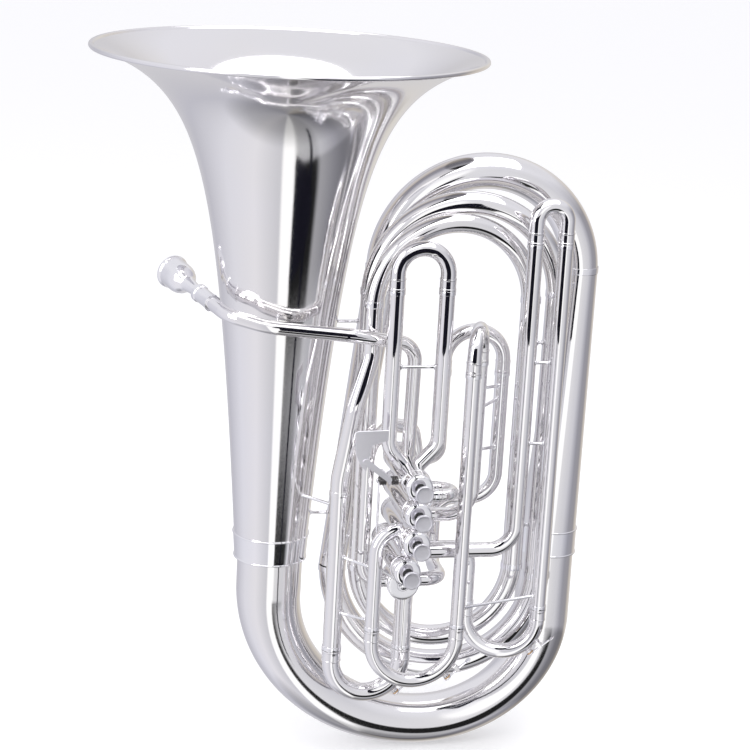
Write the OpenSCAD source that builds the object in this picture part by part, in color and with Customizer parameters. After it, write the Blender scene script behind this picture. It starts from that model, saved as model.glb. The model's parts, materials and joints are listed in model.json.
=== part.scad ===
// Front-action tuba with four piston valves and a fifth, rotary valve.
// It stands upright, its pistons point along -Y and its branches stand on the +X side of the bell.
// The modules measure X from the bell axis; set_down() then puts the origin at the lowest point
// of the bottom bow.

/* [Overall] */
// Height from the bottom bow to the bell rim
height = 910; // [900:1:920]
// Diameter over the rolled bell rim
bell_d = 480; // [470:1:490]
// Radius of the bell where it meets the bottom bow
throat_r = 45; // [44:0.1:47]
// Height of the joint between the bottom bow and the tubes above it
joint_z = 270; // [265:1:275]
// Sheet thickness of the bell and the large branches
sheet = 1; // [0.8:0.1:1.4]

/* [Large branches] */
// Distance from the bell axis to the outer branch at the joint
branch_x = 366; // [364:1:368]
// Radius of the bottom bow where it meets the bell
bow_r = 41.5; // [40:0.5:42]
// Radius of the outer branch at its foot
branch_r = 37; // [36.5:0.5:38]
// Height of the straight top of the outer branch
branch_top_z = 640; // [636:1:644]
// Radius at the top of the outer branch
branch_top_r = 24; // [23:0.5:25]
// Radius of the bow at the far end of the top bow
top_bow_r = 21; // [20:0.5:22]

/* [Valves] */
// Outer radius of a valve casing
casing_r = 17; // [16.5:0.1:17.2]
// Inner radius of a valve casing
casing_bore = 15.2; // [15:0.1:15.4]
// Running clearance between a piston and its casing
piston_fit = 0.05; // [0.03:0.01:0.08]
// How far a button travels
piston_travel = 18; // [16:0.5:18]
// Y of the front end of the casings
casing_front = -165; // [-166:1:-164]
// Y of the back end of the casings
casing_back = -38; // [-39:1:-37]
// Radius of a finger button
button_r = 11.3; // [10:0.1:12]

/* [Slides] */
// Outer radius of the valve tubing
tube_r = 9.5; // [9.2:0.1:9.8]
// Outer radius of the lower slides of valves three and four
lower_r = 9; // [8.8:0.1:9.2]
// Outer radius of the main tuning slide
main_r = 11.4; // [11:0.1:11.6]
// Wall of the outer slide legs
wall = 0.8; // [0.7:0.05:0.9]
// Wall of the inner slide legs
inner_wall = 0.6; // [0.5:0.05:0.7]
// Running clearance between an inner and an outer slide leg
slide_fit = 0.05; // [0.03:0.01:0.08]

/* [Rotary valve] */
// Outer radius of the rotor casing
rotor_casing_r = 20; // [19:0.1:20.5]
// Radius of the rotor
rotor_r = 17; // [16:0.1:17.5]

/* [Hidden] */
$fn = 64;
EPS = 0.01;

// ---- colours ----
module silver() { color([0.86, 0.86, 0.85]) children(); }
module bright() { color([0.93, 0.93, 0.94]) children(); }
module dark() { color([0.12, 0.12, 0.14]) children(); }
module cork() { color([0.72, 0.55, 0.36]) children(); }

// ---- vector helpers ----
function unit(v) = v / norm(v);
function side_of(z) = unit(cross(abs(z.z) < 0.9 ? [0, 0, 1] : [1, 0, 0], z));
function turn_angle(p, q, r) = acos(unit(q - p) * unit(r - q));
function mix(a, b, t) = a + (b - a) * t;

// Puts its children in the frame with the given origin and axes
module place(o, x, y, z) {
  multmatrix([[x.x, y.x, z.x, o.x], [x.y, y.y, z.y, o.y], [x.z, y.z, z.z, o.z], [0, 0, 0, 1]])
    children();
}

// Puts its children at a, with their Z axis pointing at b
module along(a, b) {
  z = unit(b - a);
  x = side_of(z);
  place(a, x, cross(z, x), z) children();
}

// Straight tube, or a solid rod where ri is 0
module tube(a, b, ro, ri) {
  along(a, b) rotate_extrude() translate([ri, 0]) square([ro - ri, norm(b - a)]);
}

// Straight conical tube
module cone_tube(a, b, ra, rb, t) {
  len = norm(b - a);
  along(a, b) rotate_extrude() polygon([[ra - t, 0], [ra, 0], [rb, len], [rb - t, len]]);
}

// Torus segment that rounds the corner q of the path p, q, r
module elbow(p, q, r, bend, ro, ri) {
  angle = turn_angle(p, q, r);
  d = unit(q - p);
  n = unit(cross(d, r - q));
  start = q - d * bend * tan(angle / 2);
  centre = start + cross(n, d) * bend;
  x = unit(start - centre);
  place(centre, x, cross(n, x), n)
    rotate_extrude(angle = angle) translate([bend, 0]) difference() {
      circle(ro);
      if (ri > 0) circle(ri);
    }
}

// Tube along a path whose inner corners are rounded with the listed bend radii
module pipe(path, bends, ro, ri) {
  last = len(path) - 1;
  cuts = [for (i = [0:last]) i == 0 || i == last ? 0
    : bends[i - 1] * tan(turn_angle(path[i - 1], path[i], path[i + 1]) / 2)];
  for (i = [0:last - 1]) {
    d = unit(path[i + 1] - path[i]);
    a = path[i] + d * cuts[i];
    b = path[i + 1] - d * cuts[i + 1];
    if (norm(b - a) > EPS) tube(a, b, ro, ri);
  }
  for (i = [1:last - 1]) elbow(path[i - 1], path[i], path[i + 1], bends[i - 1], ro, ri);
}

// Points along a path whose inner corners are rounded, with a point every step degrees of a bend
function bend_points(p, q, r, bend, step) =
  let (angle = turn_angle(p, q, r), d = unit(q - p), n = unit(cross(d, r - q)),
    start = q - d * bend * tan(angle / 2), centre = start + cross(n, d) * bend,
    x = start - centre, y = cross(n, x), count = max(1, ceil(angle / step)))
  [for (i = [0:count]) centre + x * cos(angle * i / count) + y * sin(angle * i / count)];
function round_path(path, bends, step) = concat([path[0]],
  [for (i = [1:len(path) - 2]) each bend_points(path[i - 1], path[i], path[i + 1], bends[i - 1], step)],
  [path[len(path) - 1]]);

// Unit tangents of a list of points, and a cross direction carried along them without twist
function tangents(c) = [for (i = [0:len(c) - 1])
  i == 0 ? unit(c[1] - c[0]) : i == len(c) - 1 ? unit(c[i] - c[i - 1])
  : unit(unit(c[i + 1] - c[i]) + unit(c[i] - c[i - 1]))];
function carried(t) = [
  for (i = 0, x = side_of(t[0]); i < len(t);
    i = i + 1, x = i < len(t) ? unit(x - t[i] * (x * t[i])) : x) x];

// Sweep of circles of radius radii[i] along the points c; t is the wall, or 0 for a solid rod
module sweep(c, radii, t, sides) {
  n = len(c);
  axes = tangents(c);
  xs = carried(axes);
  function ring(i, r) = [for (k = [0:sides - 1])
    let (a = 360 * k / sides) c[i] + (xs[i] * cos(a) + cross(axes[i], xs[i]) * sin(a)) * r];
  outer = [for (i = [0:n - 1]) each ring(i, radii[i])];
  inner = t > 0 ? [for (i = [0:n - 1]) each ring(i, radii[i] - t)] : [];
  m = n * sides;
  e = (n - 1) * sides;
  walls = [for (i = [0:n - 2], k = [0:sides - 1])
    let (j = (k + 1) % sides, a = i * sides, b = a + sides) each concat(
      [[a + k, b + k, b + j, a + j]],
      t > 0 ? [[m + a + j, m + b + j, m + b + k, m + a + k]] : [])];
  ends = t > 0
    ? [for (k = [0:sides - 1]) let (j = (k + 1) % sides) each
        [[k, j, m + j, m + k], [e + j, e + k, m + e + k, m + e + j]]]
    : [[for (k = [0:sides - 1]) k], [for (k = [sides - 1:-1:0]) e + k]];
  polyhedron(concat(outer, inner), concat(walls, ends), convexity = 8);
}
module swept_pipe(path, bends, r, t, sides, step = 15) {
  c = round_path(path, bends, step);
  sweep(c, [for (p = c) r], t, sides);
}

// Round wire coiled about Z, with open ends
module coil(r, wire, pitch, turns, steps) {
  sides = 5;
  count = turns * steps;
  points = [for (i = [0:count], k = [0:sides - 1])
    let (a = 360 * i / steps, b = 360 * k / sides)
    [(r + wire * cos(b)) * cos(a), (r + wire * cos(b)) * sin(a), pitch * i / steps + wire * sin(b)]];
  faces = [
    [for (k = [sides - 1:-1:0]) sides - 1 - k],
    for (i = [0:count - 1], k = [0:sides - 1]) let (m = (k + 1) % sides)
      [i * sides + k, (i + 1) * sides + k, (i + 1) * sides + m, i * sides + m],
    [for (k = [sides - 1:-1:0]) count * sides + k]
  ];
  polyhedron(points, faces, convexity = 10);
}

// ---- bell ----
rim_r = 3;
// Height of the rim's flat land above the centre of its wire
rim_land = 2.6;
rim_z = height - rim_land;
// Outer radius of the bell at height z: a straight taper plus a flare that peaks near the rim
taper = 0.0497;
flare_t = 54.6;
flare = (bell_d / 2 - rim_r - throat_r - taper * (rim_z - joint_z))
  / (1 / (height - rim_z + flare_t) - 1 / (height - joint_z + flare_t));
function bell_r(z) = throat_r + taper * (z - joint_z)
  + flare / (height - z + flare_t) - flare / (height - joint_z + flare_t);
bell_steps = 26;
// Heights that crowd together towards the rim
function bell_z(i) = joint_z + (rim_z - joint_z) * sin(90 * i / bell_steps);

module bell() {
  edge = bell_d / 2 - rim_r;
  silver() {
    rotate_extrude($fn = 96) polygon(concat(
      [for (i = [0:bell_steps]) [bell_r(bell_z(i)), bell_z(i)]],
      [for (i = [bell_steps:-1:0]) [bell_r(bell_z(i)) - sheet, bell_z(i) + (i == 0 ? 0 : 0.5)]]));
    // Rolled wire rim with a narrow flat land on top
    rotate_extrude($fn = 96) translate([edge, rim_z]) intersection() {
      circle(rim_r, $fn = 32);
      translate([-rim_r, -rim_r]) square([2 * rim_r, rim_r + rim_land]);
    }
  }
}

// ---- bottom bow ----
// Its centreline is two quarter ellipses with a common lowest point, and a straight stub at each end
low_x = 208;
bow_drop = [190, 141];
bow_end_r = branch_r - 1;
bow_waist = 6.5;
bow_steps = 20;
function bow_radius(t) = mix(bow_r, bow_end_r, t) - bow_waist * sin(180 * t);
bow_z = bow_radius(0.5);
function bow_point(a) = a <= 90
  ? [low_x * (1 - cos(a)), 0, bow_z + bow_drop[0] * (1 - sin(a))]
  : [low_x - (branch_x - low_x) * cos(a), 0, bow_z + bow_drop[1] * (1 - sin(a))];
module bottom_bow() {
  turns = [for (i = [0:bow_steps]) 180 * i / bow_steps];
  centres = concat([[0, 0, joint_z]], [for (a = turns) bow_point(a)], [[branch_x, 0, joint_z]]);
  radii = concat([bow_radius(0)], [for (a = turns) bow_radius(a / 180)], [bow_radius(1)]);
  silver() sweep(centres, radii, sheet, 28);
}

// Sleeve round the Z axis from z0 to z1 over a tube whose radius there runs from r0 to r1. Its
// lower lip closes in to radius lip_r, and each edge has a bead.
sleeve_t = 1;
bead_r = 1.2;
lip_h = 3;
joint_slack = 0.05;
module sleeve(z0, z1, r0, r1, lip_r) {
  i0 = r0 + joint_slack;
  i1 = r1 + joint_slack;
  corner = mix(i0, i1, lip_h / (z1 - z0));
  rotate_extrude() {
    polygon([[lip_r, z0], [i0 + sleeve_t, z0], [i1 + sleeve_t, z1], [i1, z1], [corner, z0 + lip_h],
      [lip_r, z0 + lip_h]]);
    translate([i0 + sleeve_t, z0 + bead_r]) circle(bead_r, $fn = 24);
    translate([i1 + sleeve_t, z1 - bead_r]) circle(bead_r, $fn = 24);
  }
}
sleeve_h = 34;
sleeve_z = joint_z - lip_h - joint_slack;
// Radius of the bell's lowest band, which is a plain cone
function bell_foot_r(z) = mix(bell_r(joint_z), bell_r(bell_z(1)), (z - joint_z) / (bell_z(1) - joint_z));
// Radius of the outer branch at distance d along it from its foot
function branch_at(d) = mix(branch_r, branch_top_r, d / norm(branch_head - branch_foot));
module bow_joint_ferrules() {
  top = sleeve_z + sleeve_h;
  low = -lip_h - 1;
  bright() {
    sleeve(sleeve_z, top, bell_foot_r(sleeve_z), bell_foot_r(top), bow_r + joint_slack);
    along(branch_foot, branch_head)
      sleeve(low, low + sleeve_h, branch_at(low), branch_at(low + sleeve_h), bow_end_r + 0.4);
  }
}

// ---- outer branch and top bow ----
top_x = 381;
top_end_x = 127;
top_r = (top_x - top_end_x) / 2;
// The branch leans, so that its foot stands clear of the bow's end
branch_foot = [branch_x, 0, joint_z + 1.8];
branch_head = [top_x, 0, branch_top_z];
module outer_branch() {
  silver() cone_tube(branch_foot, branch_head, branch_r - EPS, branch_top_r, sheet);
}
top_steps = 18;
module top_bow() {
  turns = [for (i = [0:top_steps]) 180 * i / top_steps];
  centres = [for (a = turns) [top_x - top_r + top_r * cos(a), 0, branch_top_z + top_r * sin(a)]];
  radii = [for (a = turns) mix(branch_top_r, top_bow_r, a / 180)];
  silver() sweep(centres, radii, sheet, 24);
}

// ---- inner branches ----
inner_head = [top_end_x, 0, branch_top_z];
inner_foot = [80, -8, 256];
second_end = [340, -50, 256];
low_bow_r = 16.8;
middle_r = 14.4;
third_r = 13;
fourth_r = 12;
middle_z = 619;
fourth_z = 611;
third_z = 269;
middle_end = [107, -40, middle_z];
fourth_end = [103, -72, fourth_z];
right_leg = [306, -50];
module inner_branch() { silver() cone_tube(inner_head, inner_foot, top_bow_r, low_bow_r + 0.6, sheet); }

// Half circle of tube from a to b that bulges along out
module half_turn(a, b, out, ro, ri) {
  u = unit(b - a);
  place((a + b) / 2, u, out, cross(u, out))
    rotate_extrude(angle = 180) translate([norm(b - a) / 2, 0]) difference() {
      circle(ro);
      circle(ri);
    }
}
// U-shaped bow between two upright ends; rise is +1 for a top bow, -1 for a bottom bow
module u_bow(a, b, rise, ro, t) { half_turn(a, [b.x, b.y, a.z], [0, 0, rise], ro, ro - t); }
module second_bow() { silver() u_bow(inner_foot, second_end, -1, low_bow_r, sheet); }
module middle_top_bow() {
  silver() u_bow(middle_end, [second_end.x, second_end.y, middle_z], 1, middle_r, sheet);
}
module inner_bottom_bow() {
  silver() u_bow([middle_end.x, middle_end.y, third_z], [right_leg.x, right_leg.y, third_z], -1, third_r, sheet);
}
module inner_top_bow() {
  silver() u_bow(fourth_end, [right_leg.x, right_leg.y, fourth_z], 1, fourth_r, sheet);
}
module straight_branches() {
  silver() {
    cone_tube(second_end, [second_end.x, second_end.y, middle_z], low_bow_r, middle_r, sheet);
    cone_tube(middle_end, [middle_end.x, middle_end.y, third_z], middle_r, third_r, sheet);
    cone_tube([right_leg.x, right_leg.y, third_z], [right_leg.x, right_leg.y, fourth_z],
      third_r, fourth_r, sheet);
  }
}

// Ring that covers the joint at p of a tube of radius r that runs along d
module joint_ring(p, d, r, h) {
  u = unit(d);
  tube(p - u * h / 2, p + u * h / 2, r + ring_t, r);
}
ring_h = 8;
ring_t = 0.9;
module bow_ferrules() {
  up = [0, 0, 1];
  bright() {
    joint_ring([top_x, 0, branch_top_z] + up * ring_h / 2, up, branch_top_r + 0.1, ring_h);
    joint_ring(inner_head + up * ring_h / 2, up, top_bow_r + 0.1, ring_h);
    joint_ring(inner_foot - up * ring_h / 2, up, low_bow_r, ring_h);
    joint_ring(second_end - up * ring_h / 2, up, low_bow_r, ring_h);
    joint_ring(middle_end + up * ring_h / 2, up, middle_r, ring_h);
    joint_ring([second_end.x, second_end.y, middle_z + ring_h / 2], up, middle_r, ring_h);
    joint_ring([middle_end.x, middle_end.y, third_z - ring_h / 2], up, third_r, ring_h);
    joint_ring([right_leg.x, right_leg.y, third_z - ring_h / 2], up, third_r, ring_h);
    joint_ring([right_leg.x, right_leg.y, fourth_z + ring_h / 2], up, fourth_r, ring_h);
    joint_ring(fourth_end + up * ring_h / 2, up, fourth_r, ring_h);
  }
}

// ---- valve positions: X and Z of each axis, which runs along Y ----
valve_1 = [150, 411];
valve_2 = [151, 375];
valve_3 = [151, 338.6];
valve_4 = [141, 303];
VALVES = [valve_1, valve_2, valve_3, valve_4];
rotor_at = [152, 262];
rotor_y = -84;
function at(v, y) = [v[0], y, v[1]];
module casing_solid(v) { tube(at(v, casing_front), at(v, casing_back), casing_r, 0); }
module rotor_solid() { tube(at(rotor_at, -104), at(rotor_at, -64), rotor_casing_r, 0); }

// ---- tube paths ----
y_front = -126;
y_mid = -94;
y_back = -70;
y_first = -111;
y_loop = -22;
main_x = [69, 158.5];
main_y = rotor_y;
main_z = 171;
main_centre_z = 166;
first_x = [121.5, 183.5];
first_z = 641;
first_centre_z = 661;
third_x = [110, 218.5];
third_back = [243, -66];
third_low_z = 213;
third_high_z = 541;
fourth_x = [294, 332];
fourth_high_z = 695;
fourth_low_z = 222;
fourth_back = [243, -70];
fifth_x = [208, 284];
fifth_z = 515;
second_x = 191;
second_y = [-98, -70];
second_z = 377;
second_r = tube_r - 1;

LEG_1A = [[first_x[0], y_first, first_z], [first_x[0], y_first, 446], at(valve_1, y_first)];
LEG_1B = [[first_x[1], y_first, first_z], [first_x[1], y_first, 446], at(valve_1, y_first)];
LEG_2A = [[second_x, second_y[0], second_z], [valve_2[0], second_y[0], second_z]];
LEG_2B = [[second_x, second_y[1], second_z], [valve_2[0], second_y[1], second_z]];
LEG_3A = [[third_x[0], y_front, third_low_z], [third_x[0], y_front, 344], [151, y_front, 344]];
LEG_3B = [[third_x[1], y_front, third_low_z], [third_x[1], y_front, third_high_z]];
LEG_3C = [[third_back.x, third_back.y, third_high_z], [third_back.x, third_back.y, 341],
  [151, third_back.y, 341]];
LEG_4A = [[fourth_x[0], y_mid, fourth_high_z], [fourth_x[0], y_mid, 303], at(valve_4, y_mid)];
LEG_4B = [[fourth_x[1], y_mid, fourth_high_z], [fourth_x[1], y_mid, fourth_low_z]];
LEG_4C = [[fourth_back.x, fourth_back.y, fourth_low_z], [fourth_back.x, fourth_back.y, 298],
  [141, fourth_back.y, 298]];
fifth_leg_z = 430;
LOOP_A = [at(rotor_at, rotor_y), [102, rotor_y, 262], [102, rotor_y, 436], [140, -34, 450],
  [172, y_loop, 442], [180, y_loop, 402], [fifth_x[0], y_loop, 402], [fifth_x[0], y_loop, fifth_leg_z]];
LOOP_A_BENDS = [24, 24, 20, 14, 11, 16];
LOOP_B = [[fifth_x[1], y_loop, fifth_leg_z], [fifth_x[1], y_loop, 348], [206, y_loop, 348],
  [206, y_loop, 262], [206, rotor_y, 262], at(rotor_at, rotor_y)];
LOOP_B_BENDS = [34, 24, 22, 22];
main_lean_z = 380;
MAIN_A = [[main_x[0], main_y, main_lean_z], [main_x[0], main_y, 396], [84, main_y, 490],
  [fourth_end.x, fourth_end.y, 548], fourth_end];
MAIN_A_BENDS = [80, 60, 50];
MAIN_B = [[main_x[1], main_y, main_z], [main_x[1], main_y, 262]];
main_left = [main_x[0], main_y, main_z];
LEADPIPE = [[-93, -36, 609], [-76, -76, 601], [-30, -98, 592], [70, -98, 582], [156, -80, 566],
  [154, -80, 411]];
LEADPIPE_BENDS = [40, 60, 60, 26];

// Straight tube from a to b with a coupling at b, in which the next tube ends
coupling_h = 6;
coupling_lip = 0.5;
module coupled_leg(a, b, r) {
  len = norm(b - a);
  bore = r - wall;
  end = len + coupling_h;
  along(a, b) rotate_extrude() polygon([[bore, 0], [r, 0], [r, len - 1], [r + ring_t, len - 1],
    [r + ring_t, end], [bore - coupling_lip, end], [bore - coupling_lip, len], [bore, len]]);
}
module tuning_branch() {
  silver() {
    coupled_leg(main_left, MAIN_A[0] - [0, 0, coupling_h - 1], main_r);
    swept_pipe(MAIN_A, MAIN_A_BENDS, main_r, wall, 24, 8);
    difference() {
      tube(MAIN_B[0], MAIN_B[1], main_r, main_r - wall);
      rotor_solid();
    }
  }
}
module leadpipe() {
  silver() difference() {
    swept_pipe(LEADPIPE, LEADPIPE_BENDS, 8.6, wall, 20, 12);
    casing_solid(valve_1);
  }
}

// ---- mouthpiece ----
receiver_end = LEADPIPE[0];
receiver_axis = unit(LEADPIPE[0] - LEADPIPE[1]);
receiver_len = 34;
shank_in = 26;
module mouthpiece_receiver() {
  a = receiver_end - receiver_axis * 8;
  b = receiver_end + receiver_axis * (receiver_len - 8);
  bright() difference() {
    union() {
      tube(a, b, 9.9, 8.6);
      tube(receiver_end, b, 9.9, 7);
      tube(b - receiver_axis * 6, b, 11.2, 8.6);
      tube(a, a + receiver_axis * 3, 10.8, 8.6);
    }
    tube(receiver_end + receiver_axis * 0.01, b + receiver_axis, 7.05, 0);
  }
}
// Mouthpiece profile, measured from the end of its shank
module mouthpiece() {
  start = receiver_end + receiver_axis * (receiver_len - 8 - shank_in + 0.5);
  rim_z = 94;
  bright() along(start, start + receiver_axis) rotate_extrude() polygon([[5.4, 0], [7, 0], [7, 30],
    [8.4, 44], [10, 52], [16, 60], [19, 70], [19.4, rim_z - 6], [21.4, rim_z - 3.6],
    [21.4, rim_z - 1], [20.2, rim_z], [17.6, rim_z], [16.4, rim_z - 2], [15.4, rim_z - 12],
    [11, rim_z - 26], [4.2, rim_z - 33], [4, rim_z - 36]]);
}

// ---- valve casings ----
module port(path) {
  last = len(path) - 1;
  tube(path[last], mix(path[last], path[last - 1], 0.98), tube_r - wall, 0);
}
module casing(v) {
  tube(at(v, casing_front), at(v, casing_back), casing_r, casing_bore);
  // Collar where the top cap screws on
  tube(at(v, casing_front + 14), at(v, casing_front + 18), casing_r + 0.8, casing_r);
}
module valve_casing_1() {
  silver() difference() {
    casing(valve_1);
    port(LEG_1A);
    port(LEG_1B);
    tube(LEADPIPE[5], LEADPIPE[5] + [0, 0, 40], 8.6 - wall, 0);
    knuckle_bores();
  }
}
module valve_casing_2() {
  silver() difference() {
    casing(valve_2);
    port(LEG_2A);
    port(LEG_2B);
    knuckle_bores();
  }
}
module valve_casing_3() {
  silver() difference() {
    casing(valve_3);
    port(LEG_3A);
    port(LEG_3C);
    knuckle_bores();
  }
}
module valve_casing_4() {
  silver() difference() {
    casing(valve_4);
    port(LEG_4A);
    port(LEG_4C);
    knuckle_bores();
  }
}
// Short tubes that join each valve to the next; the last one leads to the rotary valve
KNUCKLES = [[valve_1, valve_2, -80], [valve_1, valve_2, -140], [valve_2, valve_3, -111],
  [valve_3, valve_4, -94], [valve_3, valve_4, -140], [valve_4, rotor_at, rotor_y]];
module knuckle_bores() {
  for (k = KNUCKLES) tube(at(k[0], k[2]), at(k[1], k[2]), 7.4, 0);
}
module valve_knuckles() {
  bright() difference() {
    for (k = KNUCKLES) tube(at(k[0], k[2]), at(k[1], k[2]), 8.2, 7.4);
    for (v = VALVES) casing_solid(v);
    rotor_solid();
  }
}

// Knurled-edge cap shape: a disc with a skirt, and a rounded front edge
module cap_profile(r, h, hole) {
  rotate_extrude() difference() {
    polygon([[hole, 0], [r, 0], [r, h - 1.5], [r - 1.5, h], [hole, h]]);
    if (hole < 1) translate([-1, -1]) square([1, h + 2]);
  }
}
cap_h = 6;
stem_r = 3.4;
module top_caps() {
  bright() for (v = VALVES) difference() {
    along(at(v, casing_front), at(v, casing_front - 1)) cap_profile(casing_r - 0.8, cap_h, stem_r + 0.05);
    tube(at(v, casing_front + 1), at(v, casing_front), casing_bore, 0);
  }
}
module bottom_caps() {
  bright() for (v = VALVES) along(at(v, casing_back), at(v, casing_back + 1)) {
    cap_profile(casing_r + 0.6, 5, 0);
    translate([0, 0, 5]) cap_profile(4, 4, 0);
  }
}

// ---- pistons ----
piston_r = casing_bore - piston_fit;
piston_front = -148;
piston_back = -57;
recess_y = -85;
module piston(v) {
  bright() difference() {
    tube(at(v, piston_front), at(v, piston_back), piston_r, 0);
    tube(at(v, recess_y), at(v, piston_back + 1), 11, 0);
    for (y = [y_front, y_first])
      tube([v[0] - 20, y, v[1]], [v[0] + 20, y, v[1]], 6.4, 0);
  }
}
module piston_1() { piston(valve_1); }
module piston_2() { piston(valve_2); }
module piston_3() { piston(valve_3); }
module piston_4() { piston(valve_4); }

// Stem, felt washer and round flat finger button
stem_front = casing_front - cap_h - piston_travel - 3.5;
module button(v) {
  bright() {
    tube(at(v, piston_front), at(v, stem_front), stem_r, 0);
    along(at(v, stem_front), at(v, stem_front - 1)) rotate_extrude()
      polygon([[0, -2.2], [6, -2.2], [button_r - 1.2, -1], [button_r, 0.2], [button_r, 2.6],
        [button_r - 1, 3.6], [button_r - 2.4, 3.6], [button_r - 3, 3], [0, 3]]);
  }
}
module button_1() { button(valve_1); }
module button_2() { button(valve_2); }
module button_3() { button(valve_3); }
module button_4() { button(valve_4); }

spring_turns = 7;
module piston_spring(v) {
  len = casing_back - recess_y - 2.4;
  dark() translate(at(v, recess_y + 1.2)) rotate([-90, 0, 0])
    coil(9.2, 0.8, len / spring_turns, spring_turns, 12);
}
module piston_spring_1() { piston_spring(valve_1); }
module piston_spring_2() { piston_spring(valve_2); }
module piston_spring_3() { piston_spring(valve_3); }
module piston_spring_4() { piston_spring(valve_4); }

// ---- outer legs of the valve slides ----
bend_r = 26;
module valve_1_legs() {
  silver() difference() {
    union() {
      pipe(LEG_1A, [bend_r], tube_r, tube_r - wall);
      pipe(LEG_1B, [bend_r], tube_r, tube_r - wall);
    }
    casing_solid(valve_1);
  }
}
module valve_2_legs() {
  silver() difference() {
    union() {
      tube(LEG_2A[0], LEG_2A[1], second_r, second_r - wall);
      tube(LEG_2B[0], LEG_2B[1], second_r, second_r - wall);
    }
    casing_solid(valve_2);
  }
}
module valve_3_legs() {
  silver() difference() {
    union() {
      pipe(LEG_3A, [30], lower_r, lower_r - wall);
      tube(LEG_3B[0], LEG_3B[1], lower_r, lower_r - wall);
      pipe(LEG_3C, [34], lower_r, lower_r - wall);
    }
    casing_solid(valve_3);
  }
}
module valve_4_legs() {
  silver() difference() {
    union() {
      pipe(LEG_4A, [32], tube_r, tube_r - wall);
      tube(LEG_4B[0], LEG_4B[1], tube_r, tube_r - wall);
      pipe(LEG_4C, [24], tube_r, tube_r - wall);
    }
    casing_solid(valve_4);
  }
}
module valve_5_loop() {
  silver() {
    for (x = fifth_x)
      coupled_leg([x, y_loop, fifth_z], [x, y_loop, fifth_leg_z + coupling_h - 1], lower_r);
    difference() {
      swept_pipe(LOOP_A, LOOP_A_BENDS, lower_r, wall, 16, 18);
      rotor_solid();
    }
    difference() {
      swept_pipe(LOOP_B, LOOP_B_BENDS, lower_r, wall, 16, 18);
      rotor_solid();
    }
  }
}

// Ring round the open end of an outer leg; dir points out of the leg
end_h = 5;
module end_ring(p, dir, r, axis = [0, 0, 1]) {
  tube(p, p - axis * dir * end_h, r + ring_t, r);
}
module leg_ferrules() {
  bright() {
    for (x = first_x) end_ring([x, y_first, first_z], 1, tube_r);
    for (y = second_y) end_ring([second_x, y, second_z], 1, second_r, [1, 0, 0]);
    for (x = third_x) end_ring([x, y_front, third_low_z], -1, lower_r);
    end_ring(LEG_3B[1], 1, lower_r);
    end_ring(LEG_3C[0], 1, lower_r);
    for (x = fourth_x) end_ring([x, y_mid, fourth_high_z], 1, tube_r);
    end_ring(LEG_4B[1], -1, tube_r);
    end_ring(LEG_4C[0], -1, tube_r);
    for (x = fifth_x) end_ring([x, y_loop, fifth_z], 1, lower_r);
    for (x = main_x) end_ring([x, main_y, main_z], -1, main_r);
  }
}

// ---- slides ----
// U-shaped crook on two inner legs. a and b are the open ends of the outer legs, out points out
// of them, rise is the straight length of the crook and insert is the length inside the legs.
// The crook's ends lie inside the legs' ends: solder deep, with lip to spare all round.
ferrule_h = 15;
gap = 0.4;
lip = 0.1;
solder = 0.3;
module slide(a, b, out, rise, insert, r, collar = ferrule_h) {
  ri = r - wall - slide_fit;
  bore = ri - inner_wall;
  u = unit(b - a);
  end = rise + solder;
  for (p = [a, b]) place(p, u, cross(out, u), out) rotate_extrude()
    polygon([[bore, -insert], [ri, -insert], [ri, gap], [r + ring_t, gap], [r + ring_t, collar],
      [r + lip, collar], [r + lip, end], [bore - lip, end], [bore - lip, rise - 1], [bore, rise - 1]]);
  half_turn(a + out * rise, b + out * rise, out, r, bore);
}
UP = [0, 0, 1];
DOWN = [0, 0, -1];
RIGHT = [1, 0, 0];
crook_rise = ferrule_h + 0.5;
module slide_1() {
  silver() slide(LEG_1A[0], LEG_1B[0], UP, first_centre_z - first_z, 80, tube_r);
}
module slide_2() { silver() slide(LEG_2A[0], LEG_2B[0], RIGHT, 6.5, 17, second_r, 6); }
module slide_3_upper() { silver() slide(LEG_3B[1], LEG_3C[0], UP, crook_rise, 75, lower_r); }
module slide_4_upper() { silver() slide(LEG_4A[0], LEG_4B[0], UP, 28, 80, tube_r); }
module slide_5() {
  silver() slide([fifth_x[0], y_loop, fifth_z], [fifth_x[1], y_loop, fifth_z], UP, crook_rise, 70, lower_r);
}
module slide_3_lower() {
  silver() slide(LEG_3A[0], LEG_3B[0], DOWN, crook_rise, 80, lower_r);
  key_seat(LEG_3A[0], LEG_3B[0], lower_r);
}
module slide_4_lower() {
  silver() slide(LEG_4C[0], LEG_4B[1], DOWN, crook_rise, 45, tube_r);
  key_seat(LEG_4C[0], LEG_4B[1], tube_r);
}
module main_slide() {
  silver() slide(main_left, MAIN_B[0], DOWN, crook_rise, 55, main_r);
  key_seat(main_left, MAIN_B[0], main_r);
}

// ---- water keys ----
// Each sits on a lower crook between the leg ends a and b, key_tilt up from its lowest point.
key_tilt = 42;
hub_reach = 16;
hub_h = 5;
nipple_h = 4;
function key_u(a, b) = unit(b - a);
function key_d(a, b) = key_u(a, b) * sin(key_tilt) - UP * cos(key_tilt);
function key_t(a, b) = key_u(a, b) * cos(key_tilt) + UP * sin(key_tilt);
function key_n(a, b) = cross(UP, key_u(a, b));
function key_foot(a, b, r) = (a + b) / 2 + DOWN * crook_rise + key_d(a, b) * (norm(b - a) / 2 + r);
function key_pivot(a, b, r) = key_foot(a, b, r) + key_d(a, b) * hub_h + key_t(a, b) * hub_reach;

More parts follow.
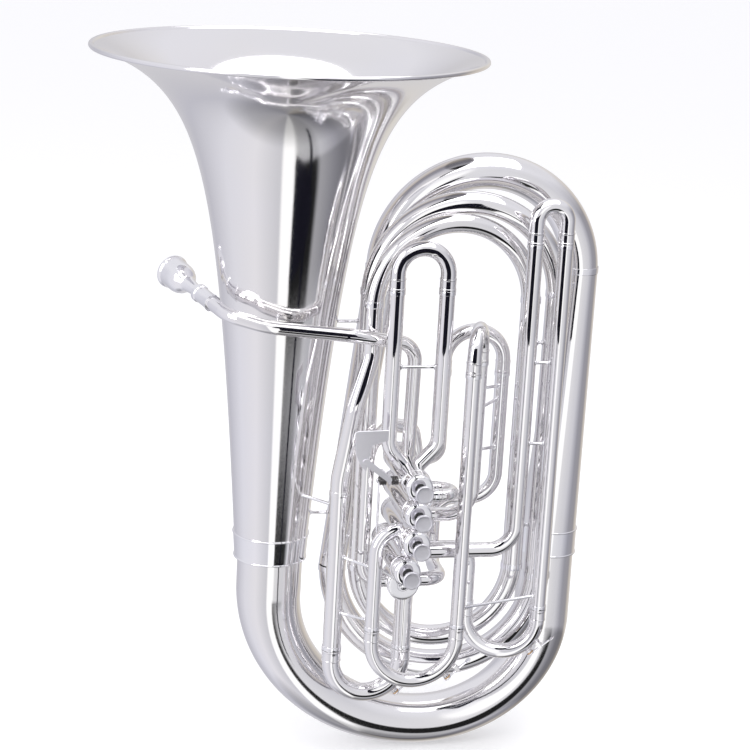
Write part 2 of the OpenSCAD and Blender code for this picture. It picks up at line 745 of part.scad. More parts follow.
// Nipple, two ears and the hinge pin, all soldered to the crook
module key_seat(a, b, r) {
  d = key_d(a, b);
  n = key_n(a, b);
  foot = key_foot(a, b, r);
  pivot = key_pivot(a, b, r);
  bright() {
    tube(foot - d * 0.6, foot + d * nipple_h, 4.2, 0);
    for (s = [-1, 1]) place(pivot + n * s * 5.2 - d * 7.6, n, key_t(a, b), -d)
      translate([-0.8, -2.5, -10]) cube([1.6, 5, 10]);
    tube(pivot - n * 6.6, pivot + n * 6.6, 1.3, 0);
  }
}
// Bored hub, bar, pad cup with a cork pad, and a round finger tail
module key_lever(a, b, r) {
  d = key_d(a, b);
  t = key_t(a, b);
  n = key_n(a, b);
  pivot = key_pivot(a, b, r);
  pad = key_foot(a, b, r) + d * (nipple_h + 0.3);
  bright() {
    difference() {
      union() {
        tube(pivot - n * 4, pivot + n * 4, 2.8, 0);
        place(pad + d * 3, t, n, d) translate([0, -1.8, -1]) cube([32, 3.6, 1.6]);
      }
      tube(pivot - n * 5, pivot + n * 5, 1.36, 0);
    }
    tube(pad + d * 1.4, pad + d * 3.6, 5.2, 0);
    tube(pad + d * 2 + t * 33, pad + d * 3.6 + t * 33, 4, 0);
  }
  cork() tube(pad, pad + d * 1.4, 4.2, 0);
}
module water_key_main() { key_lever(main_left, MAIN_B[0], main_r); }
module water_key_3() { key_lever(LEG_3A[0], LEG_3B[0], lower_r); }
module water_key_4() { key_lever(LEG_4C[0], LEG_4B[1], tube_r); }

// ---- rotary valve ----
rotor_front = -102;
rotor_back = -66;
module rotary_casing() {
  silver() difference() {
    union() {
      tube(at(rotor_at, rotor_front), at(rotor_at, rotor_back), rotor_casing_r, rotor_r + 0.05);
      tube(at(rotor_at, rotor_back - 3), at(rotor_at, rotor_back), rotor_casing_r, 0);
    }
    for (p = [[102, 262], [206, 262]]) tube(at(p, rotor_y), at(rotor_at, rotor_y), lower_r - wall, 0);
    tube([main_x[1], main_y, 200], [main_x[1], main_y, 262], 8, 0);
    knuckle_bores();
  }
}
module rotary_cap() {
  bright() difference() {
    along(at(rotor_at, rotor_front), at(rotor_at, rotor_front - 1)) cap_profile(rotor_casing_r, 3, 0);
    tube(at(rotor_at, rotor_front + 1), at(rotor_at, rotor_front - 9), 3.05, 0);
  }
}
// Stop arm on the front of the rotor; it turns by 90 degrees from this angle
arm_r = 10.3;
arm_angle = 135;
arm_t = 2;
arm_front = -108;
arm_tip = rotor_at + arm_r * [cos(arm_angle), sin(arm_angle)];
module rotor() {
  bright() {
    difference() {
      tube(at(rotor_at, rotor_front + 0.4), at(rotor_at, rotor_back - 3.4), rotor_r, 0);
      translate(at(rotor_at, rotor_y) + [24, 0, 24]) rotate([90, 0, 0])
        rotate_extrude($fn = 48) translate([24, 0]) circle(7.6, $fn = 32);
    }
    tube(at(rotor_at, rotor_front + 1), at(rotor_at, arm_front), 3, 0);
    tube(at(rotor_at, arm_front + arm_t), at(rotor_at, arm_front), 5, 0);
    tube(at(arm_tip, arm_front + arm_t), at(arm_tip, arm_front), 3.4, 0);
    place(at(rotor_at, arm_front + arm_t), [cos(arm_angle), 0, sin(arm_angle)],
      [-sin(arm_angle), 0, cos(arm_angle)], [0, -1, 0])
      translate([0, -2.4, 0]) cube([arm_r, 4.8, arm_t]);
  }
}

// ---- thumb lever ----
hinge_y = -146;
hinge_z = 414;
hinge_x = [103, 131];
rear_arm = 36;
rod_x = 113;
module lever_bracket() {
  bright() {
    tube([hinge_x[0], hinge_y, hinge_z], [133.4, hinge_y, hinge_z], 1.5, 0);
    tube([hinge_x[0] - 1.6, hinge_y, hinge_z], [hinge_x[0], hinge_y, hinge_z], 3, 0);
    difference() {
      translate([131, hinge_y - 5, hinge_z - 5]) cube([5, 10, 10]);
      casing_solid(valve_1);
    }
  }
}
coil_wire = 0.9;
module lever_springs() {
  dark() for (x = [104.5, 119.5])
    translate([x, hinge_y, hinge_z]) rotate([0, 90, 0]) coil(4.6, coil_wire, 2.1, 4, 12);
}
plate_t = 2;
module thumb_lever() {
  bright() {
    // Hub that turns on the axle, between the two springs
    tube([115.4, hinge_y, hinge_z], [117.9, hinge_y, hinge_z], 4.6, 1.56);
    // Flat touch plate, bent like a 7
    translate([0, hinge_y - 4, 0]) rotate([90, 0, 0]) linear_extrude(plate_t) difference() {
      polygon([[71, 478], [112, 479], [112, 466], [93, 460], [90, 445], [87, 428], [80, 434], [73, 450]]);
      translate([71, 478]) circle(3, $fn = 32);
    }
    // Arm from the plate down to the hub
    hull() {
      translate([86, hinge_y - 5.9, 440]) rotate([90, 0, 0]) cylinder(h = 1.8, r = 4, $fn = 24);
      translate([115.5, hinge_y - 5.9, hinge_z + 3]) rotate([90, 0, 0]) cylinder(h = 1.8, r = 3.4, $fn = 24);
    }
    translate([115.4, hinge_y - 7.7, hinge_z - 1.6]) cube([2.5, 3.2, 4.4]);
    // Rear arm that carries the rod's upper ball
    translate([115.4, hinge_y + 3.4, hinge_z - 1.6]) cube([2.5, rear_arm - 6, 3.2]);
    tube([rod_x + 3.9, hinge_y + rear_arm, hinge_z], [rod_x + 1.9, hinge_y + rear_arm, hinge_z], 3, 0);
  }
}
rod_y = hinge_y + rear_arm;
module link_rod() {
  points = [[rod_x, rod_y, hinge_z], [rod_x, rod_y, 336], [121, rod_y, 312], [121, rod_y, 286],
    at(arm_tip, rod_y)];
  bright() {
    swept_pipe(points, [20, 20, 8], 1.5, 0, 10);
    tube(at(arm_tip, rod_y - 1.8), at(arm_tip, arm_front - gap), 2.4, 0);
    tube([rod_x - 1.5, rod_y, hinge_z], [rod_x + 1.4, rod_y, hinge_z], 2.6, 0);
  }
}

// ---- braces ----
foot_r = 3.6;
foot_h = 1.8;
rod_r = 2;
// Thin rod with a flange at each end, from tube a of radius ra to tube b of radius rb
module brace(a, ra, b, rb) {
  d = unit(b - a);
  p = a + d * (ra - 0.1);
  q = b - d * (rb - 0.1);
  len = norm(q - p);
  along(p, q) rotate_extrude() polygon([[0, 0], [foot_r, 0], [foot_r, foot_h], [rod_r, foot_h],
    [rod_r, len - foot_h], [foot_r, len - foot_h], [foot_r, len], [0, len]]);
}
// Centre and radius of the inner branch at height z
function inner_t(z) = (z - inner_foot.z) / (inner_head.z - inner_foot.z);
function on_inner(z) = mix(inner_foot, inner_head, inner_t(z));
function inner_r(z) = mix(low_bow_r + 0.6, top_bow_r, inner_t(z));
module braces() {
  bright() {
    brace([first_x[0], y_first, 546], tube_r, [first_x[1], y_first, 546], tube_r);
    brace([fourth_x[0], y_mid, 546], tube_r, [fourth_x[1], y_mid, 546], tube_r);
    brace([fourth_x[0], y_mid, 442], tube_r, [fourth_x[1], y_mid, 442], tube_r);
    brace([main_x[0], main_y, 297], main_r, [third_x[0], y_front, 293], lower_r);
    brace([main_x[0], main_y, 222], main_r, [third_x[0], y_front, 224], lower_r);
    brace([third_x[1], y_front, 280], lower_r, [fourth_back.x, fourth_back.y, 280], tube_r);
    brace([third_x[1], y_front, 238], lower_r, [fourth_x[1], y_mid, 240], tube_r);
    brace([third_back.x, third_back.y, 505], lower_r, [fifth_x[1], y_loop, 497], lower_r);
    brace([third_back.x, third_back.y, 478], lower_r, [fifth_x[1], y_loop, 482], lower_r);
    brace([third_back.x, third_back.y, 425], lower_r, [fifth_x[1], y_loop, 416], lower_r);
    brace([fourth_x[1], y_mid, 500], tube_r, [second_end.x, second_end.y, 500], 15.2);
    brace([fourth_x[1], y_mid, 330], tube_r, [second_end.x, second_end.y, 330], 16.2);
    brace([middle_end.x, middle_end.y, 300], third_r, on_inner(300), inner_r(300));
    brace([middle_end.x, middle_end.y, 560], middle_r - 0.3, on_inner(560), inner_r(560));
    brace(on_inner(325), inner_r(325), [0, 0, 325], bell_r(325));
    brace(on_inner(575), inner_r(575), [0, 0, 575], bell_r(575));
    brace([right_leg.x, right_leg.y, 560], fourth_r, [second_end.x, second_end.y, 560], middle_r + 0.3);
    brace([right_leg.x, right_leg.y, 320], third_r, [second_end.x, second_end.y, 320], low_bow_r - 0.4);
    brace([second_end.x, second_end.y, 400], 15.9, [371, 0, 400], 32.4);
    brace([-20, -98, 590], 8.6, [0, 0, 590], bell_r(590));
    brace([main_x[0], main_y, 360], main_r, [0, 0, 360], bell_r(360));
  }
}

// Moves the origin from the bell axis to the lowest point of the bottom bow
module set_down() { translate([-low_x, 0, 0]) children(); }

set_down() bell();
set_down() bottom_bow();
set_down() bow_joint_ferrules();
set_down() outer_branch();
set_down() top_bow();
set_down() inner_branch();
set_down() second_bow();
set_down() straight_branches();
set_down() middle_top_bow();
set_down() inner_bottom_bow();
set_down() inner_top_bow();
set_down() bow_ferrules();
set_down() tuning_branch();
set_down() leadpipe();
set_down() mouthpiece_receiver();
set_down() mouthpiece();
set_down() valve_casing_1();
set_down() valve_casing_2();
set_down() valve_casing_3();
set_down() valve_casing_4();
set_down() valve_knuckles();
set_down() top_caps();
set_down() bottom_caps();
set_down() piston_1();
set_down() piston_2();
set_down() piston_3();
set_down() piston_4();
set_down() button_1();
set_down() button_2();
set_down() button_3();
set_down() button_4();
set_down() piston_spring_1();
set_down() piston_spring_2();
set_down() piston_spring_3();
set_down() piston_spring_4();
set_down() valve_1_legs();
set_down() valve_2_legs();
set_down() valve_3_legs();
set_down() valve_4_legs();
set_down() valve_5_loop();
set_down() leg_ferrules();
set_down() slide_1();
set_down() slide_2();
set_down() slide_3_upper();
set_down() slide_3_lower();
set_down() slide_4_upper();
set_down() slide_4_lower();
set_down() slide_5();
set_down() main_slide();
set_down() rotary_casing();
set_down() rotary_cap();
set_down() rotor();
set_down() lever_bracket();
set_down() lever_springs();
set_down() thumb_lever();
set_down() link_rod();
set_down() braces();
set_down() water_key_main();
set_down() water_key_3();
set_down() water_key_4();
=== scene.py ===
# Silver front-action tuba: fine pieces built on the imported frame, their finishes, light and camera.
# Shapes are worked out in millimetres, with X measured from the bell axis and Z from the floor.
import json
import math

import bmesh
import bpy
from mathutils import Matrix, Vector

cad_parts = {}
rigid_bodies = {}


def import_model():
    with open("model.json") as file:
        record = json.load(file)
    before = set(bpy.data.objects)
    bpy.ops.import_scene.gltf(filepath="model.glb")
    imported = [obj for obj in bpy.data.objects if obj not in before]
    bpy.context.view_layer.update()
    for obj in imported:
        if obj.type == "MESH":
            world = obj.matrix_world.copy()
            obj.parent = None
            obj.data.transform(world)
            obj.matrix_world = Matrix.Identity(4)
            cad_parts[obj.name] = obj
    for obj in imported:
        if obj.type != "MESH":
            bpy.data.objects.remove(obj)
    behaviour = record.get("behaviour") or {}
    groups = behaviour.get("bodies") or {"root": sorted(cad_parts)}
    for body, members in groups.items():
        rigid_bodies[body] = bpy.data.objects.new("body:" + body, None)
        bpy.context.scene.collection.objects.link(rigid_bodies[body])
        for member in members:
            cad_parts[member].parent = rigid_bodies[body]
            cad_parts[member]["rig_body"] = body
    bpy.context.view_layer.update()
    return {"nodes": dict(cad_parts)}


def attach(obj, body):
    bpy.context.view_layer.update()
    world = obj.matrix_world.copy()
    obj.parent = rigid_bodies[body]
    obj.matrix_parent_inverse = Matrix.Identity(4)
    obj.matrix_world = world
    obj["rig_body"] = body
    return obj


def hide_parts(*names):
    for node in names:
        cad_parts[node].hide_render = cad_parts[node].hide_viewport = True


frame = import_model()

MM = 0.001
BELL_AXIS_X = -208.0
X, Y, Z = Vector((1, 0, 0)), Vector((0, 1, 0)), Vector((0, 0, 1))
SMOOTH_ANGLE = math.radians(32)
TUBE_SIDES = 48
BEND_STEP = 4.0


# ---- shapes ----
def vec(p):
    return Vector(p)


def mix(a, b, t):
    return a + (b - a) * t


def cross_axis(axis):
    """A unit direction square to axis."""
    other = Z if abs(axis.z) < 0.9 else X
    return other.cross(axis).normalized()


class Shape:
    """Closed shells in millimetres, each made of rings of points; a tag picks the material."""

    def __init__(self):
        self.points = []
        self.faces = []
        self.tags = []

    def face(self, indices, tag):
        self.faces.append(indices)
        self.tags.append(tag)

    def stack(self, rings, loop=False, tag=0):
        """Joins rings of points in order; loop joins the last to the first, or else the ends are closed."""
        starts = []
        for ring in rings:
            starts.append((len(self.points), len(ring)))
            self.points.extend(ring)
        pairs = list(zip(starts, starts[1:]))
        if loop:
            pairs.append((starts[-1], starts[0]))
        for (a, count_a), (b, count_b) in pairs:
            for k in range(max(count_a, count_b)):
                j = (k + 1) % max(count_a, count_b)
                if count_a == 1:
                    self.face([a, b + k, b + j], tag)
                elif count_b == 1:
                    self.face([a + j, a + k, b], tag)
                else:
                    self.face([a + j, a + k, b + k, b + j], tag)
        if not loop:
            for start, count in (starts[0], starts[-1]):
                if count > 1:
                    self.face(list(range(start, start + count)), tag)
        return self

    def lathe(self, origin, axis, profile, sides=TUBE_SIDES, loop=False, flutes=None, tag=0):
        """Turns (radius, height) points about axis; flutes is (count, depth, lowest, highest)."""
        origin, axis = vec(origin), vec(axis).normalized()
        x = cross_axis(axis)
        y = axis.cross(x)
        rings = []
        for r, h in profile:
            centre = origin + axis * h
            if r < 1e-6:
                rings.append([centre])
                continue
            ring = []
            for k in range(sides):
                a = 2 * math.pi * k / sides
                rr = r
                if flutes and flutes[2] <= h <= flutes[3]:
                    rr = r - flutes[1] * (0.5 + 0.5 * math.cos(flutes[0] * a))
                ring.append(centre + (x * math.cos(a) + y * math.sin(a)) * rr)
            rings.append(ring)
        return self.stack(rings, loop, tag)

    def sweep(self, centres, radii, wall=0.0, sides=TUBE_SIDES, on=(None, None), tag=0):
        """Round tube along centres, or a rod without wall.

        on trims an end to a cylinder along Y: (x, z, radius).
        """
        axes = tangents(centres)
        xs = carried(axes)

        def ring(i, r):
            y = axes[i].cross(xs[i])
            made = [
                centres[i] + (xs[i] * math.cos(a) + y * math.sin(a)) * r
                for a in (2 * math.pi * k / sides for k in range(sides))
            ]
            cylinder = on[0] if i == 0 else on[1] if i == len(centres) - 1 else None
            if cylinder:
                made = [onto(p, axes[i], cylinder) for p in made]
            return made

        outer = [ring(i, r) for i, r in enumerate(radii)]
        if not wall:
            return self.stack(outer, False, tag)
        inner = [ring(i, r - wall) for i, r in enumerate(radii)]
        return self.stack(outer + inner[::-1], True, tag)

    def slab(self, origin, x, y, outline, thickness, edge=0.3, tag=0):
        """Flat plate with chamfered edges: outline lies along x and y, thickness along x cross y."""
        origin, x, y = vec(origin), vec(x).normalized(), vec(y).normalized()
        z = x.cross(y)
        small = inset(outline, edge)
        layers = [(small, 0), (outline, edge), (outline, thickness - edge), (small, thickness)]
        rings = [[origin + x * p[0] + y * p[1] + z * h for p in points] for points, h in layers]
        return self.stack(rings, False, tag)


def inset(outline, edge):
    """The outline moved inwards by edge; it runs anticlockwise."""
    made = []
    for i, here in enumerate(outline):
        before, after = vec(outline[i - 1]), vec(outline[(i + 1) % len(outline)])
        u, v = (vec(here) - before).normalized(), (after - vec(here)).normalized()
        nu, nv = Vector((-u.y, u.x)), Vector((-v.y, v.x))
        middle = (nu + nv).normalized()
        made.append(vec(here) + middle * edge / max(middle.dot(nu), 0.3))
    return made


def block(width, height):
    return [(-width / 2, -height / 2), (width / 2, -height / 2), (width / 2, height / 2),
        (-width / 2, height / 2)]


def tangents(points):
    """Unit directions of a path at its points."""
    steps = [(b - a).normalized() for a, b in zip(points, points[1:])]
    middle = [(a + b).normalized() for a, b in zip(steps, steps[1:])]
    return [steps[0], *middle, steps[-1]]


def carried(axes):
    """Cross directions carried along a path without twist."""
    xs = [cross_axis(axes[0])]
    for axis in axes[1:]:
        xs.append((xs[-1] - axis * xs[-1].dot(axis)).normalized())
    return xs


def onto(p, along, cylinder):
    """p moved along a direction until it lies on a cylinder that runs along Y."""
    cx, cz, radius = cylinder
    a = along.x ** 2 + along.z ** 2
    b = (p.x - cx) * along.x + (p.z - cz) * along.z
    c = (p.x - cx) ** 2 + (p.z - cz) ** 2 - radius ** 2
    root = b * b - a * c
    if a < 1e-9 or root < 0:
        return p
    near = [(-b - math.sqrt(root)) / a, (-b + math.sqrt(root)) / a]
    return p + along * min(near, key=abs)


def bend(p, q, r, radius, step=BEND_STEP):
    """Points of the arc that rounds the corner q of the path p, q, r."""
    u, v = (q - p).normalized(), (r - q).normalized()
    angle = u.angle(v)
    n = u.cross(v).normalized()
    start = q - u * radius * math.tan(angle / 2)
    x = -n.cross(u) * radius
    centre = start - x
    y = n.cross(x)
    count = max(2, math.ceil(math.degrees(angle) / step))
    return [centre + x * math.cos(angle * i / count) + y * math.sin(angle * i / count)
            for i in range(count + 1)]


def rounded(path, bends, step=BEND_STEP):
    path = [vec(p) for p in path]
    points = [path[0]]
    for p, q, r, radius in zip(path, path[1:], path[2:], bends):
        points += bend(p, q, r, radius, step)
    return points + [path[-1]]


def half_turn(a, b, out, step=BEND_STEP):
    """Half circle from a to b that bulges along out."""
    a, b, out = vec(a), vec(b), vec(out).normalized()
    centre, arm = (a + b) / 2, (a - b) / 2
    count = round(180 / step)
    return [centre + arm * math.cos(math.pi * i / count) + out * arm.length * math.sin(math.pi * i / count)
            for i in range(count + 1)]


def softened(profile, radius=0.25, loop=False):
    """A lathe profile with its sharp corners rounded over, so that each edge catches a line of light."""
    made = []
    last = len(profile) - 1
    for i, here in enumerate(profile):
        if not loop and i in (0, last):
            made.append(here)
            continue
        p, q, r = (Vector((*v, 0)) for v in (profile[i - 1], here, profile[(i + 1) % len(profile)]))
        u, v = q - p, r - q
        cut = min(radius, u.length * 0.45, v.length * 0.45)
        if u.length < 1e-6 or v.length < 1e-6 or u.angle(v) < math.radians(25):
            made.append(here)
            continue
        a, b = q - u.normalized() * cut, q + v.normalized() * cut
        for t in (0.0, 0.33, 0.67, 1.0):
            point = a * (1 - t) ** 2 + q * 2 * t * (1 - t) + b * t * t
            made.append((point.x, point.y))
    return made


def place_piece(node, shape, finishes):
    """Makes the shape a mesh that stands for the CAD node and rides on its body."""
    mesh = bpy.data.meshes.new(node + "_fine")
    points = [((p.x + BELL_AXIS_X) * MM, p.y * MM, p.z * MM) for p in shape.points]
    mesh.from_pydata(points, [], shape.faces)
    for polygon, tag in zip(mesh.polygons, shape.tags):
        polygon.material_index = tag
    bm = bmesh.new()
    bm.from_mesh(mesh)
    bmesh.ops.recalc_face_normals(bm, faces=bm.faces)
    bm.to_mesh(mesh)
    bm.free()
    mesh.shade_smooth()
    mesh.set_sharp_from_angle(angle=SMOOTH_ANGLE)
    for finish in finishes:
        mesh.materials.append(FINISHES[finish])
    obj = bpy.data.objects.new(node + "_fine", mesh)
    bpy.context.scene.collection.objects.link(obj)
    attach(obj, frame["nodes"][node]["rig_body"])
    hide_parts(node)
    return obj


# ---- sizes ----
HEIGHT = 910.0
BELL_R = 240.0
THROAT_R = 45.0
JOINT_Z = 270.0
SHEET = 1.0
BRANCH_X = 366.0
BRANCH_R = 37.0
BRANCH_TOP_Z = 640.0
BRANCH_TOP_R = 24.0
TOP_X = 381.0
TOP_END_X = 127.0
TOP_BOW_R = 21.0
WALL = 0.8
INNER_WALL = 0.6
SLIDE_FIT = 0.05
RING_T = 0.9
RING_H = 8.0
TUBE_R = 9.5
LOWER_R = 9.0
SECOND_R = 8.5
MAIN_R = 11.4
LEADPIPE_R = 8.6

VALVES = [(150.0, 411.0), (151.0, 375.0), (151.0, 338.6), (141.0, 303.0)]
ROTOR = (152.0, 262.0)
CASING_R = 17.0
CASING_BORE = 15.2
CASING_FRONT = -165.0
CASING_BACK = -38.0
ROTOR_CASING_R = 20.0
ROTOR_Y = -84.0


def at(v, y):
    return Vector((v[0], y, v[1]))


def on_casing(i):
    return (*VALVES[i], CASING_R - 0.2)


ON_ROTOR = (*ROTOR, ROTOR_CASING_R - 0.2)

LEG_1A = [(121.5, -111, 641), (121.5, -111, 446), (150, -111, 411)]
LEG_1B = [(183.5, -111, 641), (183.5, -111, 446), (150, -111, 411)]
LEG_2 = [[(191, y, 377), (151, y, 377)] for y in (-98, -70)]
LEG_3A = [(110, -126, 213), (110, -126, 344), (151, -126, 344)]
LEG_3B = [(218.5, -126, 213), (218.5, -126, 541)]
LEG_3C = [(243, -66, 541), (243, -66, 341), (151, -66, 341)]
LEG_4A = [(294, -94, 695), (294, -94, 303), (141, -94, 303)]
LEG_4B = [(332, -94, 695), (332, -94, 222)]
LEG_4C = [(243, -70, 222), (243, -70, 298), (141, -70, 298)]
LOOP_A = [(152, -84, 262), (102, -84, 262), (102, -84, 436), (140, -34, 450), (172, -22, 442),
          (180, -22, 402), (208, -22, 402), (208, -22, 515)]
LOOP_A_BENDS = [24, 24, 20, 14, 11, 16]
LOOP_B = [(284, -22, 515), (284, -22, 348), (206, -22, 348), (206, -22, 262), (206, -84, 262),
          (152, -84, 262)]
LOOP_B_BENDS = [34, 24, 22, 22]
MAIN_LEFT = (69, -84, 171)
MAIN_RIGHT = (158.5, -84, 171)
MAIN_A = [MAIN_LEFT, (69, -84, 396), (84, -84, 490), (103, -72, 548), (103, -72, 611)]
MAIN_A_BENDS = [80, 60, 50]
LEADPIPE = [(-93, -36, 609), (-76, -76, 601), (-30, -98, 592), (70, -98, 582), (156, -80, 566),
            (154, -80, 411)]
LEADPIPE_BENDS = [40, 60, 60, 26]
INNER_HEAD = (127, 0, 640)
INNER_FOOT = (80, -8, 256)
SECOND_END = (340, -50, 256)
MIDDLE_A = (107, -40, 619)
MIDDLE_B = (340, -50, 619)
THIRD_A = (107, -40, 269)
THIRD_B = (306, -50, 269)
FOURTH_A = (103, -72, 611)
FOURTH_B = (306, -50, 611)
SECOND_BOW_R = 16.8
MIDDLE_R = 14.4
THIRD_R = 13.0
FOURTH_R = 12.0


# ---- bell and large branches ----
FLARE_T = 54.6
RIM_R = 3.0
RIM_LAND = 2.6
RIM_Z = HEIGHT - RIM_LAND
TAPER = 0.0497
FLARE = (BELL_R - THROAT_R - TAPER * (HEIGHT - JOINT_Z) - RIM_R) / (
    1 / (FLARE_T + RIM_LAND) - 1 / (HEIGHT - JOINT_Z + FLARE_T))


def bell_r(z):
    """Outer radius of the bell at height z: a straight taper plus the flare."""
    cone_r = THROAT_R + TAPER * (z - JOINT_Z)
    return cone_r + FLARE / (HEIGHT - z + FLARE_T) - FLARE / (HEIGHT - JOINT_Z + FLARE_T)


def bell():
    steps = 150
    heights = [mix(JOINT_Z, RIM_Z, math.sin(math.pi / 2 * i / steps)) for i in range(steps + 1)]
    edge = BELL_R - RIM_R
    outside = [(bell_r(z), z) for z in heights if edge - bell_r(z) > RIM_R * 0.8]
    wire = [(edge + RIM_R * math.cos(math.radians(a)), min(RIM_Z + RIM_R * math.sin(math.radians(a)),
        HEIGHT))
            for a in range(205, 525, 12)]
    inside = [(r - SHEET, z + 0.5 * (z > JOINT_Z)) for r, z in reversed(outside)]
    return Shape().lathe((0, 0, 0), Z, outside + wire + inside, 224, loop=True)


LOW_X = 208.0
BOW_DROP = (190.0, 141.0)
BOW_R = 41.5
BOW_WAIST = 6.5
BOW_TURNS = 90


def bow_radius(t):
    return mix(BOW_R, BRANCH_R - 1, t) - BOW_WAIST * math.sin(math.pi * t)


def bow_point(t):
    """Point of the bow's centreline: two quarter ellipses with a common lowest point."""
    a = math.pi * t
    low = t <= 0.5
    reach, drop = (LOW_X, BOW_DROP[0]) if low else (BRANCH_X - LOW_X, BOW_DROP[1])
    return vec((LOW_X - reach * math.cos(a), 0, bow_radius(0.5) + drop * (1 - math.sin(a))))


def bottom_bow():
    shares = [i / BOW_TURNS for i in range(BOW_TURNS + 1)]
    centres = [vec((0, 0, JOINT_Z)), *[bow_point(t) for t in shares], vec((BRANCH_X, 0, JOINT_Z))]
    return Shape().sweep(centres, [bow_radius(0), *[bow_radius(t) for t in shares], bow_radius(1)],
        SHEET, 96)


def sleeve_profile(height, radii, bore):
    """Double-beaded sleeve; radii gives its outer radius at a height."""
    made = []
    for low, high, sign in ((0, 2.4, 1), (height - 2.4, height, 1)):
        for i in range(9):
            a = math.pi * i / 8
            made.append((radii(low) + 1.1 * math.sin(a) + 0.05, mix(low, high, (1 - math.cos(a)) / 2)))
    return made + [(bore(height), height), (bore(0), 0)]


BRANCH_FOOT = (BRANCH_X, 0, JOINT_Z + 1.8)
BRANCH_HEAD = (TOP_X, 0, BRANCH_TOP_Z)


def bow_joint_ferrules():
    height = 34.0
    low = JOINT_Z - 3.05
    shape = Shape()
    shape.lathe((0, 0, low), Z, sleeve_profile(
        height, lambda h: bell_r(low + h) + 0.9, lambda h: bell_r(low + h) - 0.4 if h > 0 else BOW_R),
        128, loop=True)
    axis = (vec(BRANCH_HEAD) - vec(BRANCH_FOOT)).normalized()
    start = vec(BRANCH_FOOT) - axis * 4
    shape.lathe(start, axis, sleeve_profile(
        height, lambda h: BRANCH_R + 1 - 0.035 * h, lambda h: BRANCH_R - 1.4 if h > 0 else BRANCH_R - 0.6),
        96, loop=True)
    return shape


def cone(a, b, ra, rb, sides=64):
    return Shape().sweep([vec(a), vec(b)], [ra, rb], SHEET, sides)


def top_bow():
    arc = half_turn((TOP_X, 0, BRANCH_TOP_Z), (TOP_END_X, 0, BRANCH_TOP_Z), Z, 2)
    last = len(arc) - 1
    return Shape().sweep(arc, [mix(BRANCH_TOP_R, TOP_BOW_R, i / last) for i in range(last + 1)], SHEET, 72)


def u_bow(a, b, out, r):
    arc = half_turn(a, (b[0], b[1], a[2]), out, 2.5)
    return Shape().sweep(arc, [r] * len(arc), SHEET, 56)


def straight_branches():
    shape = Shape()
    for a, b, ra, rb in ((SECOND_END, MIDDLE_B, SECOND_BOW_R, MIDDLE_R),
        (MIDDLE_A, THIRD_A, MIDDLE_R, THIRD_R),
                         (THIRD_B, FOURTH_B, THIRD_R, FOURTH_R)):
        shape.sweep([vec(a), vec(b)], [ra, rb], SHEET, 56)
    return shape


def ring(shape, p, axis, r, height, proud=RING_T, bore=0.05):
    """Ferrule with rounded edges, centred at p."""
    half = height / 2
    profile = softened([(r - bore, -half), (r + proud, -half), (r + proud, half), (r - bore, half)],
        0.35, True)
    shape.lathe(p, axis, profile, 64, loop=True)


def bow_ferrules():
    shape = Shape()
    up = RING_H / 2
    for p, r, side in (((TOP_X, 0, BRANCH_TOP_Z), BRANCH_TOP_R, 1), (INNER_HEAD, TOP_BOW_R, 1),
                       (INNER_FOOT, SECOND_BOW_R, -1), (SECOND_END, SECOND_BOW_R, -1),
                       (MIDDLE_A, MIDDLE_R, 1),
                       (MIDDLE_B, MIDDLE_R, 1), (THIRD_A, THIRD_R, -1), (THIRD_B, THIRD_R, -1),
                       (FOURTH_B, FOURTH_R, 1), (FOURTH_A, FOURTH_R, 1)):
        ring(shape, vec(p) + Z * up * side, Z, r, RING_H)
    return shape


# ---- tubing ----
def tube(shape, path, bends, r, wall=WALL, on=(None, None), step=BEND_STEP):
    centres = rounded(path, bends, step)
    shape.sweep(centres, [r] * len(centres), wall, on=on)
    return shape


def tuning_branch():
    shape = tube(Shape(), MAIN_A, MAIN_A_BENDS, MAIN_R, step=3)
    tube(shape, [MAIN_RIGHT, (158.5, -84, 262)], [], MAIN_R, on=(None, ON_ROTOR))
    ring(shape, (69, -84, 378), Z, MAIN_R, 6)
    return shape


def leadpipe():
    centres = rounded(LEADPIPE, LEADPIPE_BENDS, 3)
    return Shape().sweep(centres, [LEADPIPE_R] * len(centres), WALL, on=(None, on_casing(0)))


def valve_1_legs():
    shape = tube(Shape(), LEG_1A, [26], TUBE_R, on=(None, on_casing(0)))
    return tube(shape, LEG_1B, [26], TUBE_R, on=(None, on_casing(0)))


def valve_2_legs():
    shape = Shape()
    for leg in LEG_2:
        tube(shape, leg, [], SECOND_R, on=(None, on_casing(1)))
    return shape


def valve_3_legs():
    shape = tube(Shape(), LEG_3A, [30], LOWER_R, on=(None, on_casing(2)))
    tube(shape, LEG_3B, [], LOWER_R)
    return tube(shape, LEG_3C, [34], LOWER_R, on=(None, on_casing(2)))


def valve_4_legs():
    shape = tube(Shape(), LEG_4A, [32], TUBE_R, on=(None, on_casing(3)))
    tube(shape, LEG_4B, [], TUBE_R)
    return tube(shape, LEG_4C, [24], TUBE_R, on=(None, on_casing(3)))


def valve_5_loop():
    shape = tube(Shape(), LOOP_A, LOOP_A_BENDS, LOWER_R, on=(ON_ROTOR, None))
    tube(shape, LOOP_B, LOOP_B_BENDS, LOWER_R, on=(None, ON_ROTOR))
    return shape


